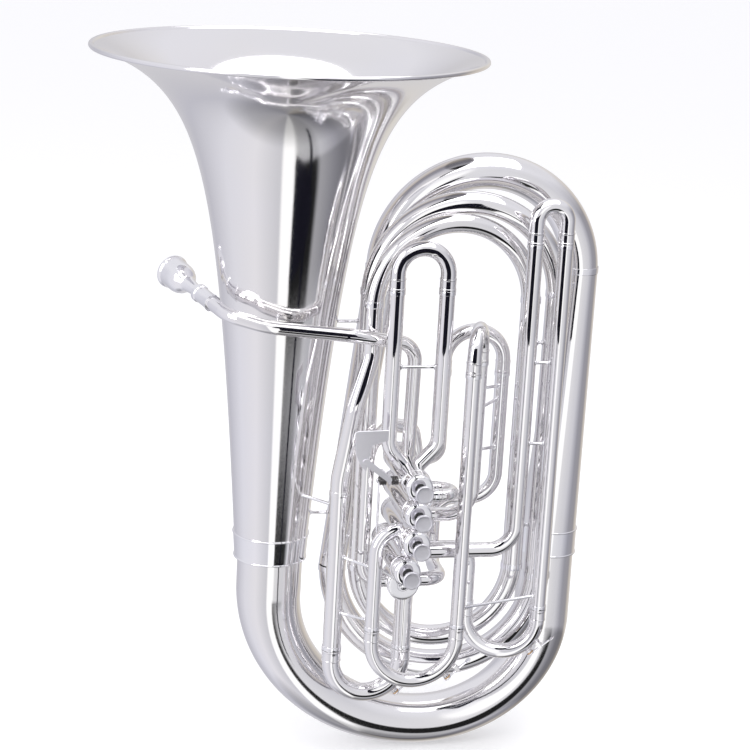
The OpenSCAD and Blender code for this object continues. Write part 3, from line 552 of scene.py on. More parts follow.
LEG_ENDS = [
    (LEG_1A[0], Z, TUBE_R), (LEG_1B[0], Z, TUBE_R),
    (LEG_2[0][0], X, SECOND_R), (LEG_2[1][0], X, SECOND_R),
    (LEG_3A[0], -Z, LOWER_R), (LEG_3B[0], -Z, LOWER_R),
    (LEG_3B[1], Z, LOWER_R), (LEG_3C[0], Z, LOWER_R),
    (LEG_4A[0], Z, TUBE_R), (LEG_4B[0], Z, TUBE_R),
    (LEG_4B[1], -Z, TUBE_R), (LEG_4C[0], -Z, TUBE_R),
    ((208, -22, 515), Z, LOWER_R), ((284, -22, 515), Z, LOWER_R),
    (MAIN_LEFT, -Z, MAIN_R), (MAIN_RIGHT, -Z, MAIN_R)]
END_H = 5.0


def leg_ferrules():
    shape = Shape()
    for p, out, r in LEG_ENDS:
        ring(shape, vec(p) - out * END_H / 2, Z if out.z else X, r, END_H)
    return shape


FERRULE_H = 15.0
GAP = 0.4
CROOK_RISE = 15.5


def slide(a, b, out, rise, insert, r, collar=FERRULE_H):
    """U-shaped crook on two inner legs with a beaded collar on each."""
    inner = r - WALL - SLIDE_FIT
    bore = inner - INNER_WALL
    shape = Shape()
    a, b, out = vec(a), vec(b), vec(out)
    for p in (a, b):
        shape.lathe(p, out, [(bore, -insert), (inner, -insert), (inner, GAP + 1), (bore, GAP + 1)], 48,
            loop=True)
        shape.lathe(p, out, softened([
            (bore, GAP), (r + RING_T, GAP), (r + RING_T, GAP + 2.2), (r + RING_T - 0.45, GAP + 2.9),
            (r + RING_T - 0.45, collar - 2.2), (r + RING_T, collar - 1.6), (r + RING_T, collar),
            (bore, collar)],
            0.3, True), 64, loop=True)
    start, end = a + out * (collar - 1), b + out * (collar - 1)
    centres = [start, *half_turn(a + out * rise, b + out * rise, out, 3), end]
    shape.sweep(centres, [r] * len(centres), r - bore)
    return shape


def slide_1():
    return slide(LEG_1A[0], LEG_1B[0], Z, 20, 80, TUBE_R)


def slide_2():
    return slide(LEG_2[0][0], LEG_2[1][0], X, 6.5, 17, SECOND_R, 6)


def slide_3_upper():
    return slide(LEG_3B[1], LEG_3C[0], Z, CROOK_RISE, 75, LOWER_R)


def slide_4_upper():
    return slide(LEG_4A[0], LEG_4B[0], Z, 28, 80, TUBE_R)


def slide_5():
    return slide((208, -22, 515), (284, -22, 515), Z, CROOK_RISE, 70, LOWER_R)


def slide_3_lower():
    shape = slide(LEG_3A[0], LEG_3B[0], -Z, CROOK_RISE, 80, LOWER_R)
    return key_seat(shape, LEG_3A[0], LEG_3B[0], LOWER_R)


def slide_4_lower():
    shape = slide(LEG_4C[0], LEG_4B[1], -Z, CROOK_RISE, 45, TUBE_R)
    return key_seat(shape, LEG_4C[0], LEG_4B[1], TUBE_R)


def main_slide():
    shape = slide(MAIN_LEFT, MAIN_RIGHT, -Z, CROOK_RISE, 55, MAIN_R)
    return key_seat(shape, MAIN_LEFT, MAIN_RIGHT, MAIN_R)


# ---- water keys ----
KEY_TILT = math.radians(42)
HUB_REACH = 16.0
HUB_H = 5.0
NIPPLE_H = 4.0


def key_axes(a, b, r):
    """Outward, tangent and hinge directions of a water key, with its foot and its pivot."""
    a, b = vec(a), vec(b)
    u = (b - a).normalized()
    d = u * math.sin(KEY_TILT) - Z * math.cos(KEY_TILT)
    t = u * math.cos(KEY_TILT) + Z * math.sin(KEY_TILT)
    n = Z.cross(u)
    foot = (a + b) / 2 - Z * CROOK_RISE + d * ((b - a).length / 2 + r)
    return d, t, n, foot, foot + d * HUB_H + t * HUB_REACH


def key_seat(shape, a, b, r):
    """Nipple, two rounded ears, the hinge pin and its screw head."""
    d, t, n, foot, pivot = key_axes(a, b, r)
    shape.lathe(foot, d,
        softened([(0, -0.6), (4.8, -0.6), (4.8, 0.8), (4.2, 1.4), (4.2, NIPPLE_H), (2.2, NIPPLE_H),
                                   (2.2, 1), (0, 1)], 0.3), 40)
    round_end = [math.radians(v) for v in range(-90, 91, 15)]
    ear = [(-2.5, 7.6), *[(2.5 * math.sin(v), -2.5 * math.cos(v)) for v in round_end], (2.5, 7.6)]
    for side in (-1, 1):
        shape.slab(pivot + n * (side * 5.2 - 0.8), t, -d, ear, 1.6, 0.25)
    shape.lathe(pivot, n,
        softened([(0, -6.6), (1.3, -6.6), (1.3, 6.0), (2.2, 6.0), (2.2, 7.0), (0, 7.0)], 0.2), 24)
    return shape


def key_lever(a, b, r):
    """Bored hub, bar, cup with its cork, and finger tail."""
    d, t, n, foot, pivot = key_axes(a, b, r)
    pad = foot + d * (NIPPLE_H + 0.3)
    shape = Shape()
    shape.lathe(pivot, n, softened([(1.36, -4), (2.8, -4), (2.8, 4), (1.36, 4)], 0.25, True), 32, loop=True)
    outline = [(0, -1.8), (32, -1.8), (32, 1.8), (0, 1.8)]
    thickness = -1.6 if t.cross(n).dot(d) > 0 else 1.6
    shape.slab(pad + d * 3.6, t, n, outline, thickness, 0.3)
    shape.lathe(pad, d, softened([(0, 1.4), (5.2, 1.4), (5.2, 3.0), (4.2, 3.6), (0, 3.6)], 0.3), 40)
    shape.lathe(pad + t * 33, d, softened([(0, 2), (4, 2), (4, 3.2), (3.4, 3.6), (0, 3.4)], 0.3), 40)
    shape.lathe(pad, d, softened([(0, 0), (4.0, 0), (4.2, 0.3), (4.2, 1.5), (0, 1.5)], 0.3), 40, tag=1)
    return shape


def water_key_main():
    return key_lever(MAIN_LEFT, MAIN_RIGHT, MAIN_R)


def water_key_3():
    return key_lever(LEG_3A[0], LEG_3B[0], LOWER_R)


def water_key_4():
    return key_lever(LEG_4C[0], LEG_4B[1], TUBE_R)


# ---- mouthpiece ----
RECEIVER_END = vec(LEADPIPE[0])
RECEIVER_AXIS = (vec(LEADPIPE[0]) - vec(LEADPIPE[1])).normalized()


def mouthpiece_receiver():
    profile = softened([(8.4, -8), (10.8, -8), (10.8, -5.4), (9.9, -4.6), (9.9, 19), (10.7, 19.8),
        (11.2, 20.4),
                        (11.2, 26), (7.1, 26), (7.1, 0.2), (8.4, 0)], 0.4, True)
    return Shape().lathe(RECEIVER_END, RECEIVER_AXIS, profile, 64, loop=True)


def mouthpiece():
    rim_z = 94.0
    outside = [(4.5, 0), (6.9, 0), (7.0, 1), (7.0, 28), (7.3, 34), (7.9, 40), (8.6, 45), (9.2, 49.5),
        (9.9, 52),
               (11.6, 54.6), (14.2, 57.6), (16.6, 61.6), (18.2, 66), (18.9, 70.5), (19.1, 76), (19.2, 82),
               (19.4, rim_z - 6.4), (20.3, rim_z - 5.2), (21.1, rim_z - 4.0), (21.4, rim_z - 2.6)]
    rim = [(19.0 + 2.4 * math.cos(math.radians(a)), rim_z - 2.4 + 2.4 * math.sin(math.radians(a)))
           for a in range(10, 181, 10)]
    cup = [(16.4, rim_z - 3.4), (16.1, rim_z - 8), (15.4, rim_z - 14), (13.9, rim_z - 20),
        (11.4, rim_z - 25.4),
           (8.2, rim_z - 29.6), (5.4, rim_z - 32), (4.1, rim_z - 34), (4.0, rim_z - 38), (4.3, rim_z - 60)]
    origin = RECEIVER_END + RECEIVER_AXIS * 0.5
    return Shape().lathe(origin, RECEIVER_AXIS, outside + rim + cup, 96, loop=True)


# ---- valves ----
def casing(i):
    """Casing with its balusters: beads near both ends and the collar under the top cap."""
    r = CASING_R
    bore = CASING_BORE
    length = CASING_BACK - CASING_FRONT
    profile = softened([
        (bore, 0), (r, 0), (r, 13.6), (r + 0.8, 14), (r + 0.8, 18), (r, 18.4), (r, length - 8),
        (r + 0.5, length - 7.4), (r + 0.5, length - 4.6), (r, length - 4), (r, length), (bore, length)],
        0.3, True)
    return Shape().lathe(at(VALVES[i], CASING_FRONT), Y, profile, 96, loop=True)


KNUCKLES = [(VALVES[0], VALVES[1], -80), (VALVES[0], VALVES[1], -140), (VALVES[1], VALVES[2], -111),
            (VALVES[2], VALVES[3], -94), (VALVES[2], VALVES[3], -140), (VALVES[3], ROTOR, ROTOR_Y)]


def valve_knuckles():
    shape = Shape()
    for a, b, y in KNUCKLES:
        radius = ROTOR_CASING_R if b is ROTOR else CASING_R
        direction = (at(b, y) - at(a, y)).normalized()
        start = at(a, y) + direction * (CASING_R - 1)
        end = at(b, y) - direction * (radius - 1)
        shape.sweep([start, end], [8.2, 8.2], WALL, on=((*a, CASING_R - 0.2), (*b, radius - 0.2)))
    return shape


CAP_H = 6.0


def top_caps():
    """Knurled screw caps with a rounded front edge and a black felt ring round each stem; the ring is real
    felt, and its black also paints the dark reflection seen above each button.
    """
    r = CASING_R - 0.8
    shape = Shape()
    profile = softened([(3.6, 0), (r, 0), (r, 3.9), (r - 0.5, 4.3), (r - 1.6, 5.4), (r - 3.4, CAP_H),
                        (6.4, CAP_H), (6.2, CAP_H - 0.7), (3.6, CAP_H - 0.7)], 0.25, True)
    for v in VALVES:
        shape.lathe(at(v, CASING_FRONT), -Y, profile, 288, loop=True, flutes=(72, 0.35, 0.5, 3.8))
        # Felt ring: real felt, and its black also paints the dark reflection above each button
        shape.lathe(at(v, CASING_FRONT), -Y,
            softened([(3.6, CAP_H - 0.8), (6.0, CAP_H - 0.8), (5.8, CAP_H + 0.6),
                                                       (3.6, CAP_H + 0.6)], 0.3, True), 48, loop=True,
                                                       tag=1)
    return shape


def bottom_caps():
    r = CASING_R + 0.6
    shape = Shape()
    profile = softened([(0, 0), (r, 0), (r, 3.2), (r - 1.6, 5), (5.4, 5), (4.6, 5.6), (4, 6.4), (4, 8),
        (3, 9),
                        (0, 9)], 0.3)
    for v in VALVES:
        shape.lathe(at(v, CASING_BACK), Y, profile, 288, flutes=(72, 0.35, 0.3, 3.0))
    return shape


STEM_FRONT = -192.5
BUTTON_R = 11.3


def button(i):
    """Stem and a flat finger button with a raised, rounded rim."""
    r = BUTTON_R
    shape = Shape()
    shape.lathe(at(VALVES[i], -148), -Y, [(0, 0), (3.4, 0), (3.4, 44), (0, 44)], 40)
    profile = softened([(0, -2.2), (5.4, -2.2), (6.4, -1.8), (r - 1.4, -1.2), (r, 0.1), (r, 2.5),
        (r - 0.9, 3.6),
                        (r - 1.9, 3.6), (r - 2.7, 3.05), (r - 6, 2.92), (0, 2.9)], 0.35)
    shape.lathe(at(VALVES[i], STEM_FRONT), -Y, profile, 96)
    return shape


# ---- rotary valve ----
ROTOR_FRONT = -102.0
ROTOR_BACK = -66.0
ARM_R = 10.3
ARM_ANGLE = math.radians(135)
ARM_T = 2.0
ARM_FRONT = -108.0
ARM_DIR = Vector((math.cos(ARM_ANGLE), 0, math.sin(ARM_ANGLE)))
ARM_TIP = (ROTOR[0] + ARM_R * ARM_DIR.x, ROTOR[1] + ARM_R * ARM_DIR.z)


def rotary_casing():
    r = ROTOR_CASING_R
    bore = 17.05
    length = ROTOR_BACK - ROTOR_FRONT
    profile = softened([(bore, 0), (r, 0), (r, 3), (r - 0.6, 3.6), (r - 0.6, length - 5), (r, length - 4.4),
                        (r, length), (0, length), (0, length - 3), (bore, length - 3)], 0.3, False)
    return Shape().lathe(at(ROTOR, ROTOR_FRONT), Y, profile[:-1] + [(bore, length - 3)], 96, loop=True)


def rotary_cap():
    r = ROTOR_CASING_R
    profile = softened([(3.05, 0), (r, 0), (r, 1.7), (r - 1.5, 3), (8, 3), (7.4, 2.5), (3.05, 2.5)],
        0.3, True)
    return Shape().lathe(at(ROTOR, ROTOR_FRONT), -Y, profile, 288, loop=True, flutes=(80, 0.3, 0.2, 1.5))


def rotor():
    shape = Shape()
    shape.lathe(at(ROTOR, ROTOR_FRONT + 0.4), Y, softened([(0, 0), (17, 0), (17, 32.2), (0, 32.2)]), 72)
    shape.lathe(at(ROTOR, ROTOR_FRONT + 1), -Y, softened([
        (0, 0), (3, 0), (3, 5), (5, 5), (5, 7), (3.4, 7), (3.1, 7.9), (0, 7.9)], 0.25), 40)
    shape.lathe(at(ARM_TIP, ARM_FRONT + ARM_T), -Y,
        softened([(0, 0), (3.4, 0), (3.4, ARM_T), (0, ARM_T)], 0.3), 32)
    across = -Y.cross(ARM_DIR)
    start = at(ROTOR, ARM_FRONT + ARM_T)
    outline = [(0, -2.4), (ARM_R, -2.4), (ARM_R, 2.4), (0, 2.4)]
    shape.slab(start, ARM_DIR, across, outline, ARM_T, 0.3)
    return shape


# ---- thumb lever ----
HINGE = Vector((0, -146, 414))
REAR_ARM = 36.0
ROD_X = 113.0
ROD_Y = HINGE.y + REAR_ARM


def hinge_at(x):
    return Vector((x, HINGE.y, HINGE.z))


def lever_bracket():
    shape = Shape()
    shape.lathe(hinge_at(101.4), X,
        softened([(0, 0), (2.2, 0), (3, 0.5), (3, 1.6), (1.5, 1.7), (1.5, 32), (0, 32)],
                                             0.2), 32)
    shape.slab(hinge_at(131), Y, Z, block(10, 10), 4.4, 0.8)
    return shape


def lever_springs():
    """Two coil springs round the axle."""
    shape = Shape()
    turns = 4
    pitch = 2.1
    count = turns * 32
    for x0 in (104.5, 119.5):
        centres = [hinge_at(x0 + pitch * i / 32) + Y * 4.6 * math.cos(2 * math.pi * i / 32)
                   + Z * 4.6 * math.sin(2 * math.pi * i / 32) for i in range(count + 1)]
        shape.sweep(centres, [0.9] * len(centres), 0, 12)
    return shape


def thumb_lever():
    shape = Shape()
    shape.lathe(hinge_at(115.4), X, softened([(1.56, 0), (4.6, 0), (4.6, 2.5), (1.56, 2.5)], 0.3, True),
        40, loop=True)
    plate = [(73, 450), (80, 434), (87, 428), (90, 445), (93, 460), (112, 466), (112, 479), (74.5, 478.1),
             (71.6, 476.4), (71.1, 474)]
    shape.slab((0, HINGE.y - 4, 0), X, Z, plate, 2, 0.45)
    arm_a, arm_b = Vector((86, 440)), Vector((115.5, HINGE.z + 3))
    along = (arm_b - arm_a).normalized()
    base = math.atan2(along.y, along.x)
    outline = [arm_a + 4 * Vector((math.cos(base + math.radians(v)), math.sin(base + math.radians(v))))
               for v in range(90, 271, 15)]
    outline += [arm_b + 3.4 * Vector((math.cos(base + math.radians(v)), math.sin(base + math.radians(v))))
                for v in range(-90, 91, 15)]
    shape.slab((0, HINGE.y - 5.9, 0), X, Z, [tuple(p) for p in outline], 1.8, 0.35)
    shape.slab((116.65, HINGE.y - 6.1, HINGE.z + 0.6), X, Z, block(2.5, 4.4), -3.2, 0.2)
    shape.slab((116.65, HINGE.y + 3.4, HINGE.z), X, Z, block(2.5, 3.2), -30, 0.3)
    shape.lathe((ROD_X + 1.9, ROD_Y, HINGE.z), X, softened([(0, 0), (3, 0), (3, 2), (0, 2)], 0.3), 32)
    return shape


def link_rod():
    path = [(ROD_X, ROD_Y, 414), (ROD_X, ROD_Y, 336), (121, ROD_Y, 312), (121, ROD_Y, 286),
        at(ARM_TIP, ROD_Y)]
    centres = rounded(path, [20, 20, 8])
    shape = Shape().sweep(centres, [1.5] * len(centres), 0, 24)
    shape.lathe(at(ARM_TIP, ROD_Y - 1.8), Y, softened([(0, 0), (2.4, 0), (2.4, 3.4), (0, 3.4)], 0.3), 32)
    shape.lathe((ROD_X - 1.5, ROD_Y, 414), X, softened([(0, 0), (2.6, 0), (2.6, 2.9), (0, 2.9)], 0.5), 32)
    return shape


# ---- braces ----
def brace(shape, a, ra, b, rb):
    """Thin rod with a turned foot at each end, from tube a to tube b."""
    a, b = vec(a), vec(b)
    d = (b - a).normalized()
    start = a + d * (ra - 0.1)
    length = (b - d * (rb - 0.1) - start).length
    half = [(0, 0), (3.6, 0), (3.6, 0.8), (3.0, 1.4), (2.3, 1.8), (2.0, 2.6)]
    profile = half + [(r, length - h) for r, h in reversed(half)]
    shape.lathe(start, d, softened(profile, 0.3), 32)


def braces():
    shape = Shape()
    for a, ra, b, rb in (
            ((121.5, -111, 546), TUBE_R, (183.5, -111, 546), TUBE_R),
            ((294, -94, 546), TUBE_R, (332, -94, 546), TUBE_R),
            ((294, -94, 442), TUBE_R, (332, -94, 442), TUBE_R),
            ((69, -84, 297), MAIN_R, (110, -126, 293), LOWER_R),
            ((69, -84, 222), MAIN_R, (110, -126, 224), LOWER_R),
            ((218.5, -126, 280), LOWER_R, (243, -70, 280), TUBE_R),
            ((218.5, -126, 238), LOWER_R, (332, -94, 240), TUBE_R),
            ((243, -66, 505), LOWER_R, (284, -22, 497), LOWER_R),
            ((243, -66, 478), LOWER_R, (284, -22, 482), LOWER_R),
            ((243, -66, 425), LOWER_R, (284, -22, 416), LOWER_R),
            ((332, -94, 500), TUBE_R, (340, -50, 500), 15.2),
            ((332, -94, 330), TUBE_R, (340, -50, 330), 16.2),
            ((107, -40, 300), THIRD_R, (80, -8, 300), 18),
            ((107, -40, 560), 14.1, (117.2, -1.7, 560), 20.2),
            ((88.9, -6.6, 325), 18.1, (0, 0, 325), bell_r(325)),
            ((119.1, -1.4, 575), 20.4, (0, 0, 575), bell_r(575)),
            ((306, -50, 560), FOURTH_R, (340, -50, 560), 14.7),
            ((306, -50, 320), THIRD_R, (340, -50, 320), 16.4),
            ((340, -50, 400), 15.9, (371, 0, 400), 32.4),
            ((-20, -98, 590), LEADPIPE_R, (0, 0, 590), bell_r(590)),
            ((69, -84, 360), MAIN_R, (0, 0, 360), bell_r(360))):
        brace(shape, a, ra, b, rb)
    return shape


# ---- finishes ----
def metal(name, colour, tint, roughness, patch=9.0, waviness=0.0):
    """Polished metal: slow changes of tint and polish, fine wiping marks and a trace of waviness."""
    material = bpy.data.materials.new(name)
    material.use_nodes = True
    nodes, links = material.node_tree.nodes, material.node_tree.links
    shader = nodes["Principled BSDF"]
    shader.inputs["Metallic"].default_value = 1.0
    coords = nodes.new("ShaderNodeTexCoord")
    slow = nodes.new("ShaderNodeTexNoise")
    slow.inputs["Scale"].default_value = patch
    slow.inputs["Detail"].default_value = 3.0
    links.new(coords.outputs["Object"], slow.inputs["Vector"])
    tinted = nodes.new("ShaderNodeMix")
    tinted.data_type = "RGBA"
    tinted.inputs["A"].default_value = (*colour, 1)
    tinted.inputs["B"].default_value = (*tint, 1)
    links.new(slow.outputs["Fac"], tinted.inputs["Factor"])
    links.new(tinted.outputs["Result"], shader.inputs["Base Color"])
    fine = nodes.new("ShaderNodeTexNoise")
    fine.inputs["Scale"].default_value = 420.0
    fine.inputs["Detail"].default_value = 4.0
    links.new(coords.outputs["Object"], fine.inputs["Vector"])
    polish = nodes.new("ShaderNodeMapRange")
    polish.inputs["From Min"].default_value = 0.3
    polish.inputs["From Max"].default_value = 0.7
    polish.inputs["To Min"].default_value = roughness[0]
    polish.inputs["To Max"].default_value = roughness[1]
    links.new(fine.outputs["Fac"], polish.inputs["Value"])
    links.new(polish.outputs["Result"], shader.inputs["Roughness"])
    if waviness:
        bump = nodes.new("ShaderNodeBump")
        bump.inputs["Strength"].default_value = waviness
        bump.inputs["Distance"].default_value = 0.001
        links.new(slow.outputs["Fac"], bump.inputs["Height"])
        links.new(bump.outputs["Normal"], shader.inputs["Normal"])
    return material


def soft_pad(name, colour, tint, scale):
    """Cork or felt: grain in colour and in height."""
    material = bpy.data.materials.new(name)
    material.use_nodes = True
    nodes, links = material.node_tree.nodes, material.node_tree.links
    shader = nodes["Principled BSDF"]
    shader.inputs["Roughness"].default_value = 0.9
    coords = nodes.new("ShaderNodeTexCoord")
    grain = nodes.new("ShaderNodeTexNoise")
    grain.inputs["Scale"].default_value = scale
    grain.inputs["Detail"].default_value = 6.0
    links.new(coords.outputs["Object"], grain.inputs["Vector"])
    mixed = nodes.new("ShaderNodeMix")
    mixed.data_type = "RGBA"
    mixed.inputs["A"].default_value = (*colour, 1)
    mixed.inputs["B"].default_value = (*tint, 1)
    links.new(grain.outputs["Fac"], mixed.inputs["Factor"])
    links.new(mixed.outputs["Result"], shader.inputs["Base Color"])
    bump = nodes.new("ShaderNodeBump")
    bump.inputs["Strength"].default_value = 0.4
    bump.inputs["Distance"].default_value = 0.0004
    links.new(grain.outputs["Fac"], bump.inputs["Height"])
    links.new(bump.outputs["Normal"], shader.inputs["Normal"])
    return material


SILVER = (0.90, 0.89, 0.935)
SILVER_WARM = (0.9, 0.885, 0.86)
FINISHES = {
    "bell": metal("silver_bell", SILVER, SILVER_WARM, (0.07, 0.11), 5.0),
    "silver": metal("silver_tubing", SILVER, SILVER_WARM, (0.035, 0.07), 9.0),
    "bright": metal("silver_fittings", (0.95, 0.95, 0.95), SILVER, (0.05, 0.1), 30.0),
    "button": metal("silver_buttons", (0.86, 0.85, 0.9), (0.8, 0.79, 0.83), (0.3, 0.42), 30.0),
    "steel": metal("spring_wire", (0.16, 0.15, 0.15), (0.08, 0.08, 0.08), (0.25, 0.4), 60.0),
    "cork": soft_pad("key_cork", (0.62, 0.42, 0.24), (0.36, 0.22, 0.12), 900.0),
    # Black stem felt: real felt, and its black also paints the dark reflection above each button
    "felt": soft_pad("stem_felt", (0.05, 0.05, 0.05), (0.02, 0.02, 0.02), 1500.0),
}

PIECES = [
    ("bell", bell, ["bell"]),
    ("bottom_bow", bottom_bow, ["bell"]),
    ("bow_joint_ferrules", bow_joint_ferrules, ["bright"]),
    ("outer_branch", lambda: cone(BRANCH_FOOT, BRANCH_HEAD, BRANCH_R, BRANCH_TOP_R, 96),
     ["silver"]),
    ("top_bow", top_bow, ["silver"]),
    ("inner_branch", lambda: cone(INNER_HEAD, INNER_FOOT, TOP_BOW_R, SECOND_BOW_R + 0.6), ["silver"]),
    ("second_bow", lambda: u_bow(INNER_FOOT, SECOND_END, -Z, SECOND_BOW_R), ["silver"]),
    ("straight_branches", straight_branches, ["silver"]),
    ("middle_top_bow", lambda: u_bow(MIDDLE_A, MIDDLE_B, Z, MIDDLE_R), ["silver"]),
    ("inner_bottom_bow", lambda: u_bow(THIRD_A, THIRD_B, -Z, THIRD_R), ["silver"]),
    ("inner_top_bow", lambda: u_bow(FOURTH_A, FOURTH_B, Z, FOURTH_R), ["silver"]),
    ("bow_ferrules", bow_ferrules, ["bright"]),
    ("tuning_branch", tuning_branch, ["silver"]),
    ("leadpipe", leadpipe, ["silver"]),
    ("mouthpiece_receiver", mouthpiece_receiver, ["bright"]),
    ("mouthpiece", mouthpiece, ["bright"]),
    ("valve_knuckles", valve_knuckles, ["bright"]),
    ("top_caps", top_caps, ["bright", "felt"]),
    ("bottom_caps", bottom_caps, ["bright"]),
    ("valve_1_legs", valve_1_legs, ["silver"]),
    ("valve_2_legs", valve_2_legs, ["silver"]),
    ("valve_3_legs", valve_3_legs, ["silver"]),
    ("valve_4_legs", valve_4_legs, ["silver"]),
    ("valve_5_loop", valve_5_loop, ["silver"]),
    ("leg_ferrules", leg_ferrules, ["bright"]),
    ("slide_1", slide_1, ["silver"]),
    ("slide_2", slide_2, ["silver"]),
    ("slide_3_upper", slide_3_upper, ["silver"]),
    ("slide_3_lower", slide_3_lower, ["silver"]),
    ("slide_4_upper", slide_4_upper, ["silver"]),
    ("slide_4_lower", slide_4_lower, ["silver"]),
    ("slide_5", slide_5, ["silver"]),
    ("main_slide", main_slide, ["silver"]),
    ("rotary_casing", rotary_casing, ["bright"]),
    ("rotary_cap", rotary_cap, ["bright"]),
    ("rotor", rotor, ["bright"]),
    ("lever_bracket", lever_bracket, ["bright"]),
    ("lever_springs", lever_springs, ["steel"]),
    ("thumb_lever", thumb_lever, ["button"]),
    ("link_rod", link_rod, ["bright"]),
    ("braces", braces, ["bright"]),
    ("water_key_main", water_key_main, ["bright", "cork"]),
    ("water_key_3", water_key_3, ["bright", "cork"]),
    ("water_key_4", water_key_4, ["bright", "cork"]),
]
for index in range(4):
    PIECES.append((f"valve_casing_{index + 1}", lambda i=index: casing(i), ["silver"]))
    PIECES.append((f"button_{index + 1}", lambda i=index: button(i), ["button"]))

for node_name, maker, finish_names in PIECES:
    place_piece(node_name, maker(), finish_names)

KEPT = {"piston_spring": "steel", "piston": "bright"}
for number in range(1, 5):
    for stem, finish_name in KEPT.items():
        kept = frame["nodes"][f"{stem}_{number}"]
        kept.data.materials.clear()
        kept.data.materials.append(FINISHES[finish_name])


# ---- floor, light and camera ----
def floor():
    mesh = bpy.data.meshes.new("floor")
    half = 30.0
    mesh.from_pydata([(-half, -half, 0), (half, -half, 0), (half, half, 0), (-half, half, 0)], [],
        [(0, 1, 2, 3)])
    material = bpy.data.materials.new("floor_paper")
    material.use_nodes = True
    shader = material.node_tree.nodes["Principled BSDF"]
    shader.inputs["Base Color"].default_value = (0.9, 0.9, 0.9, 1)
    shader.inputs["Roughness"].default_value = 0.8
    shader.inputs["Specular IOR Level"].default_value = 0.1
    shader.inputs["Emission Color"].default_value = (1, 1, 1, 1)
    shader.inputs["Emission Strength"].default_value = 0.25
    mesh.materials.append(material)
    obj = bpy.data.objects.new("floor", mesh)
    obj.visible_glossy = False
    bpy.context.scene.collection.objects.link(obj)


FRONT = Vector((-0.216, -0.976, 0))
SIDE = Vector((0.976, -0.216, 0))
# The room's walls: degrees from the front, positive towards +X, and the colour that metal sees there
WALLS = [
    (-180, (0.66, 0.65, 0.67)), (-140, (0.56, 0.56, 0.62)), (-90, (0.78, 0.78, 0.84)),
    (-45, (0.84, 0.83, 0.87)),
    (-4, (0.64, 0.64, 0.68)), (-1, (1.15, 1.15, 1.15)), (19, (1.15, 1.15, 1.15)), (22, (0.80, 0.80, 0.82)),
    (58, (0.66, 0.66, 0.70)), (76, (0.46, 0.46, 0.51)), (88, (0.34, 0.34, 0.38)), (118, (0.34, 0.33, 0.35)),
    (135, (0.62, 0.57, 0.51)), (160, (0.74, 0.71, 0.67)), (180, (0.66, 0.65, 0.67))]
# The dark floor in front and to the right, by the sine of its angle above the horizon
STRIP = [(-1, 0.72), (-0.80, 0.66), (-0.77, 0.02), (-0.46, 0.02), (-0.42, 1.0), (1, 1.0)]
# The floor under the tuba, which darkens its underside
NADIR = [(-1, 0.42), (-0.95, 0.55), (-0.86, 1.0), (1, 1.0)]
STRIP_SPAN = [(-180, 0.0), (16, 0.0), (18, 1.0), (50, 1.0), (56, 0.45), (150, 0.45), (165, 0.0), (180, 0.0)]


def studio():
    """A white room with a dark panel and a dark strip of floor, so that polished metal shows its form."""
    world = bpy.data.worlds.new("studio")
    world.use_nodes = True
    bpy.context.scene.world = world
    nodes, links = world.node_tree.nodes, world.node_tree.links
    coords = nodes.new("ShaderNodeTexCoord")

    def dot(direction):
        node = nodes.new("ShaderNodeVectorMath")
        node.operation = "DOT_PRODUCT"
        node.inputs[1].default_value = direction
        links.new(coords.outputs["Generated"], node.inputs[0])
        return node.outputs["Value"]

    def ramp(value, low, high, stops):
        scaled = nodes.new("ShaderNodeMapRange")
        scaled.inputs["From Min"].default_value = low
        scaled.inputs["From Max"].default_value = high
        links.new(value, scaled.inputs["Value"])
        node = nodes.new("ShaderNodeValToRGB")
        links.new(scaled.outputs["Result"], node.inputs["Fac"])
        elements = node.color_ramp.elements
        while len(elements) < len(stops):
            elements.new(0.5)
        for element, (at_value, colour) in zip(elements, stops):
            element.position = (at_value - low) / (high - low)
        for element, (at_value, colour) in zip(elements, stops):
            element.color = (*colour, 1) if isinstance(colour, tuple) else (colour, colour, colour, 1)
        return node.outputs["Color"]

    def mixed(kind, factor, a, b):
        node = nodes.new("ShaderNodeMix")
        node.data_type = "RGBA"
        node.blend_type = kind
        for socket, value in (("Factor", factor), ("A", a), ("B", b)):
            if isinstance(value, bpy.types.NodeSocket):
                links.new(value, node.inputs[socket])
            else:
                node.inputs[socket].default_value = value
        return node.outputs["Result"]

    bearing = nodes.new("ShaderNodeMath")
    bearing.operation = "ARCTAN2"
    links.new(dot(SIDE), bearing.inputs[0])
    links.new(dot(FRONT), bearing.inputs[1])
    turn = nodes.new("ShaderNodeMath")
    turn.operation = "DEGREES"
    links.new(bearing.outputs[0], turn.inputs[0])
    height = dot(Z)
    white = (1.0, 1.0, 1.0, 1.0)
    ceiling = ramp(height, -1, 1, [(-1, 0.0), (0.25, 0.0), (0.6, 0.9), (1, 0.9)])
    above = (0.84, 0.84, 0.88, 1.0)
    walls = mixed("MIX", ceiling, ramp(turn.outputs[0], -180, 180, WALLS), above)
    span = ramp(turn.outputs[0], -180, 180, STRIP_SPAN)
    floored = mixed("MULTIPLY", span, walls, ramp(height, -1, 1, STRIP))
    seen = mixed("MULTIPLY", 1.0, floored, ramp(height, -1, 1, NADIR))
    direct = nodes.new("ShaderNodeLightPath")
    links.new(mixed("MIX", direct.outputs["Is Camera Ray"], seen, white),
        nodes["Background"].inputs["Color"])


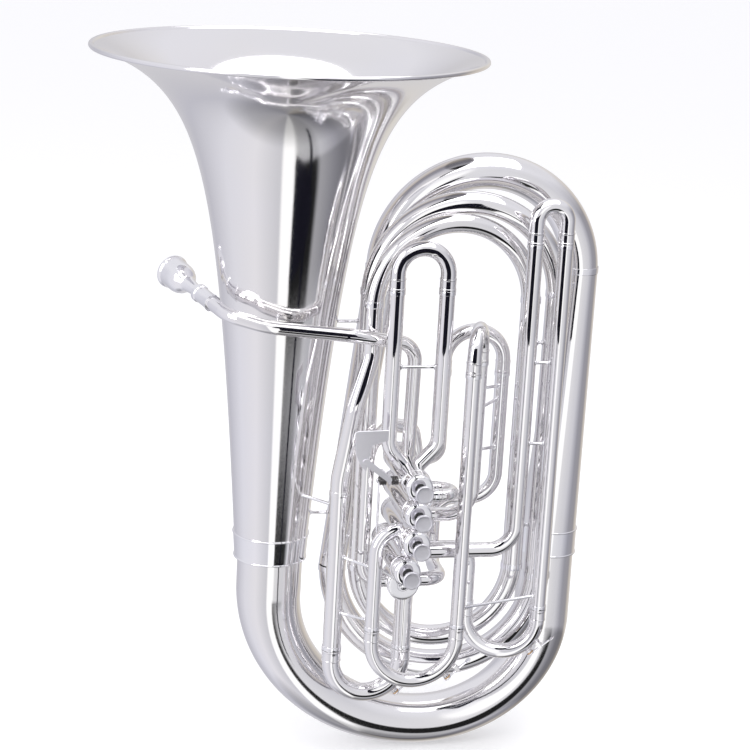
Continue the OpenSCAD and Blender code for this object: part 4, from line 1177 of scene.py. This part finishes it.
def flag(name, corners):
    """A black card that only the metal's reflections see; corners are (side, forward, height) in metres."""
    mesh = bpy.data.meshes.new(name)
    mesh.from_pydata([SIDE * c[0] + FRONT * c[1] + Z * c[2] for c in corners], [], [(0, 1, 2, 3)])
    material = bpy.data.materials.new(name + "_velvet")
    material.use_nodes = True
    shader = material.node_tree.nodes["Principled BSDF"]
    shader.inputs["Base Color"].default_value = (0.012, 0.012, 0.02, 1)
    shader.inputs["Roughness"].default_value = 1.0
    shader.inputs["Specular IOR Level"].default_value = 0.0
    mesh.materials.append(material)
    obj = bpy.data.objects.new(name, mesh)
    obj.visible_camera = False
    obj.visible_diffuse = False
    obj.visible_shadow = False
    bpy.context.scene.collection.objects.link(obj)


def soft_light(name, place, aim, size, power):
    light = bpy.data.lights.new(name, "AREA")
    light.shape = "RECTANGLE"
    light.size, light.size_y = size
    light.energy = power
    obj = bpy.data.objects.new(name, light)
    obj.location = place
    obj.rotation_euler = (Vector(aim) - Vector(place)).to_track_quat("-Z", "Y").to_euler()
    bpy.context.scene.collection.objects.link(obj)


studio()
floor()
flag("flag_upright", [(-0.12, 0.36, 0.50), (0.17, 0.36, 0.50), (0.17, 0.36, 0.74), (-0.12, 0.36, 0.74)])
flag("flag_shelf", [(-0.12, 0.36, 0.74), (0.17, 0.36, 0.74), (0.17, 0.95, 0.74), (-0.12, 0.95, 0.74)])
flag("flag_pole", [(0.0, 0.36, 0.0), (0.03, 0.36, 0.0), (0.03, 0.36, 0.5), (0.0, 0.36, 0.5)])
soft_light("top_light", (0.0, -0.6, 2.6), (0, 0, 0.4), (2.5, 2.5), 30)
soft_light("left_light", (-2.4, -1.6, 1.4), (0, 0, 0.5), (1.2, 2.4), 25)

CAMERA_PLACE = Vector((-0.63313, -2.48631, 1.20798))
CAMERA_RIGHT = Vector((0.978096, -0.201499, 0.052212))
CAMERA_UP = Vector((0.004497, 0.271230, 0.962504))
LENS = 100.76
camera_data = bpy.data.cameras.new("camera")
camera_data.lens = LENS
camera = bpy.data.objects.new("camera", camera_data)
camera.matrix_world = Matrix.Translation(CAMERA_PLACE) @ Matrix(
    (CAMERA_RIGHT, CAMERA_UP, CAMERA_RIGHT.cross(CAMERA_UP))).transposed().to_4x4()
bpy.context.scene.collection.objects.link(camera)
bpy.context.scene.camera = camera
bpy.context.scene.view_settings.view_transform = "Standard"
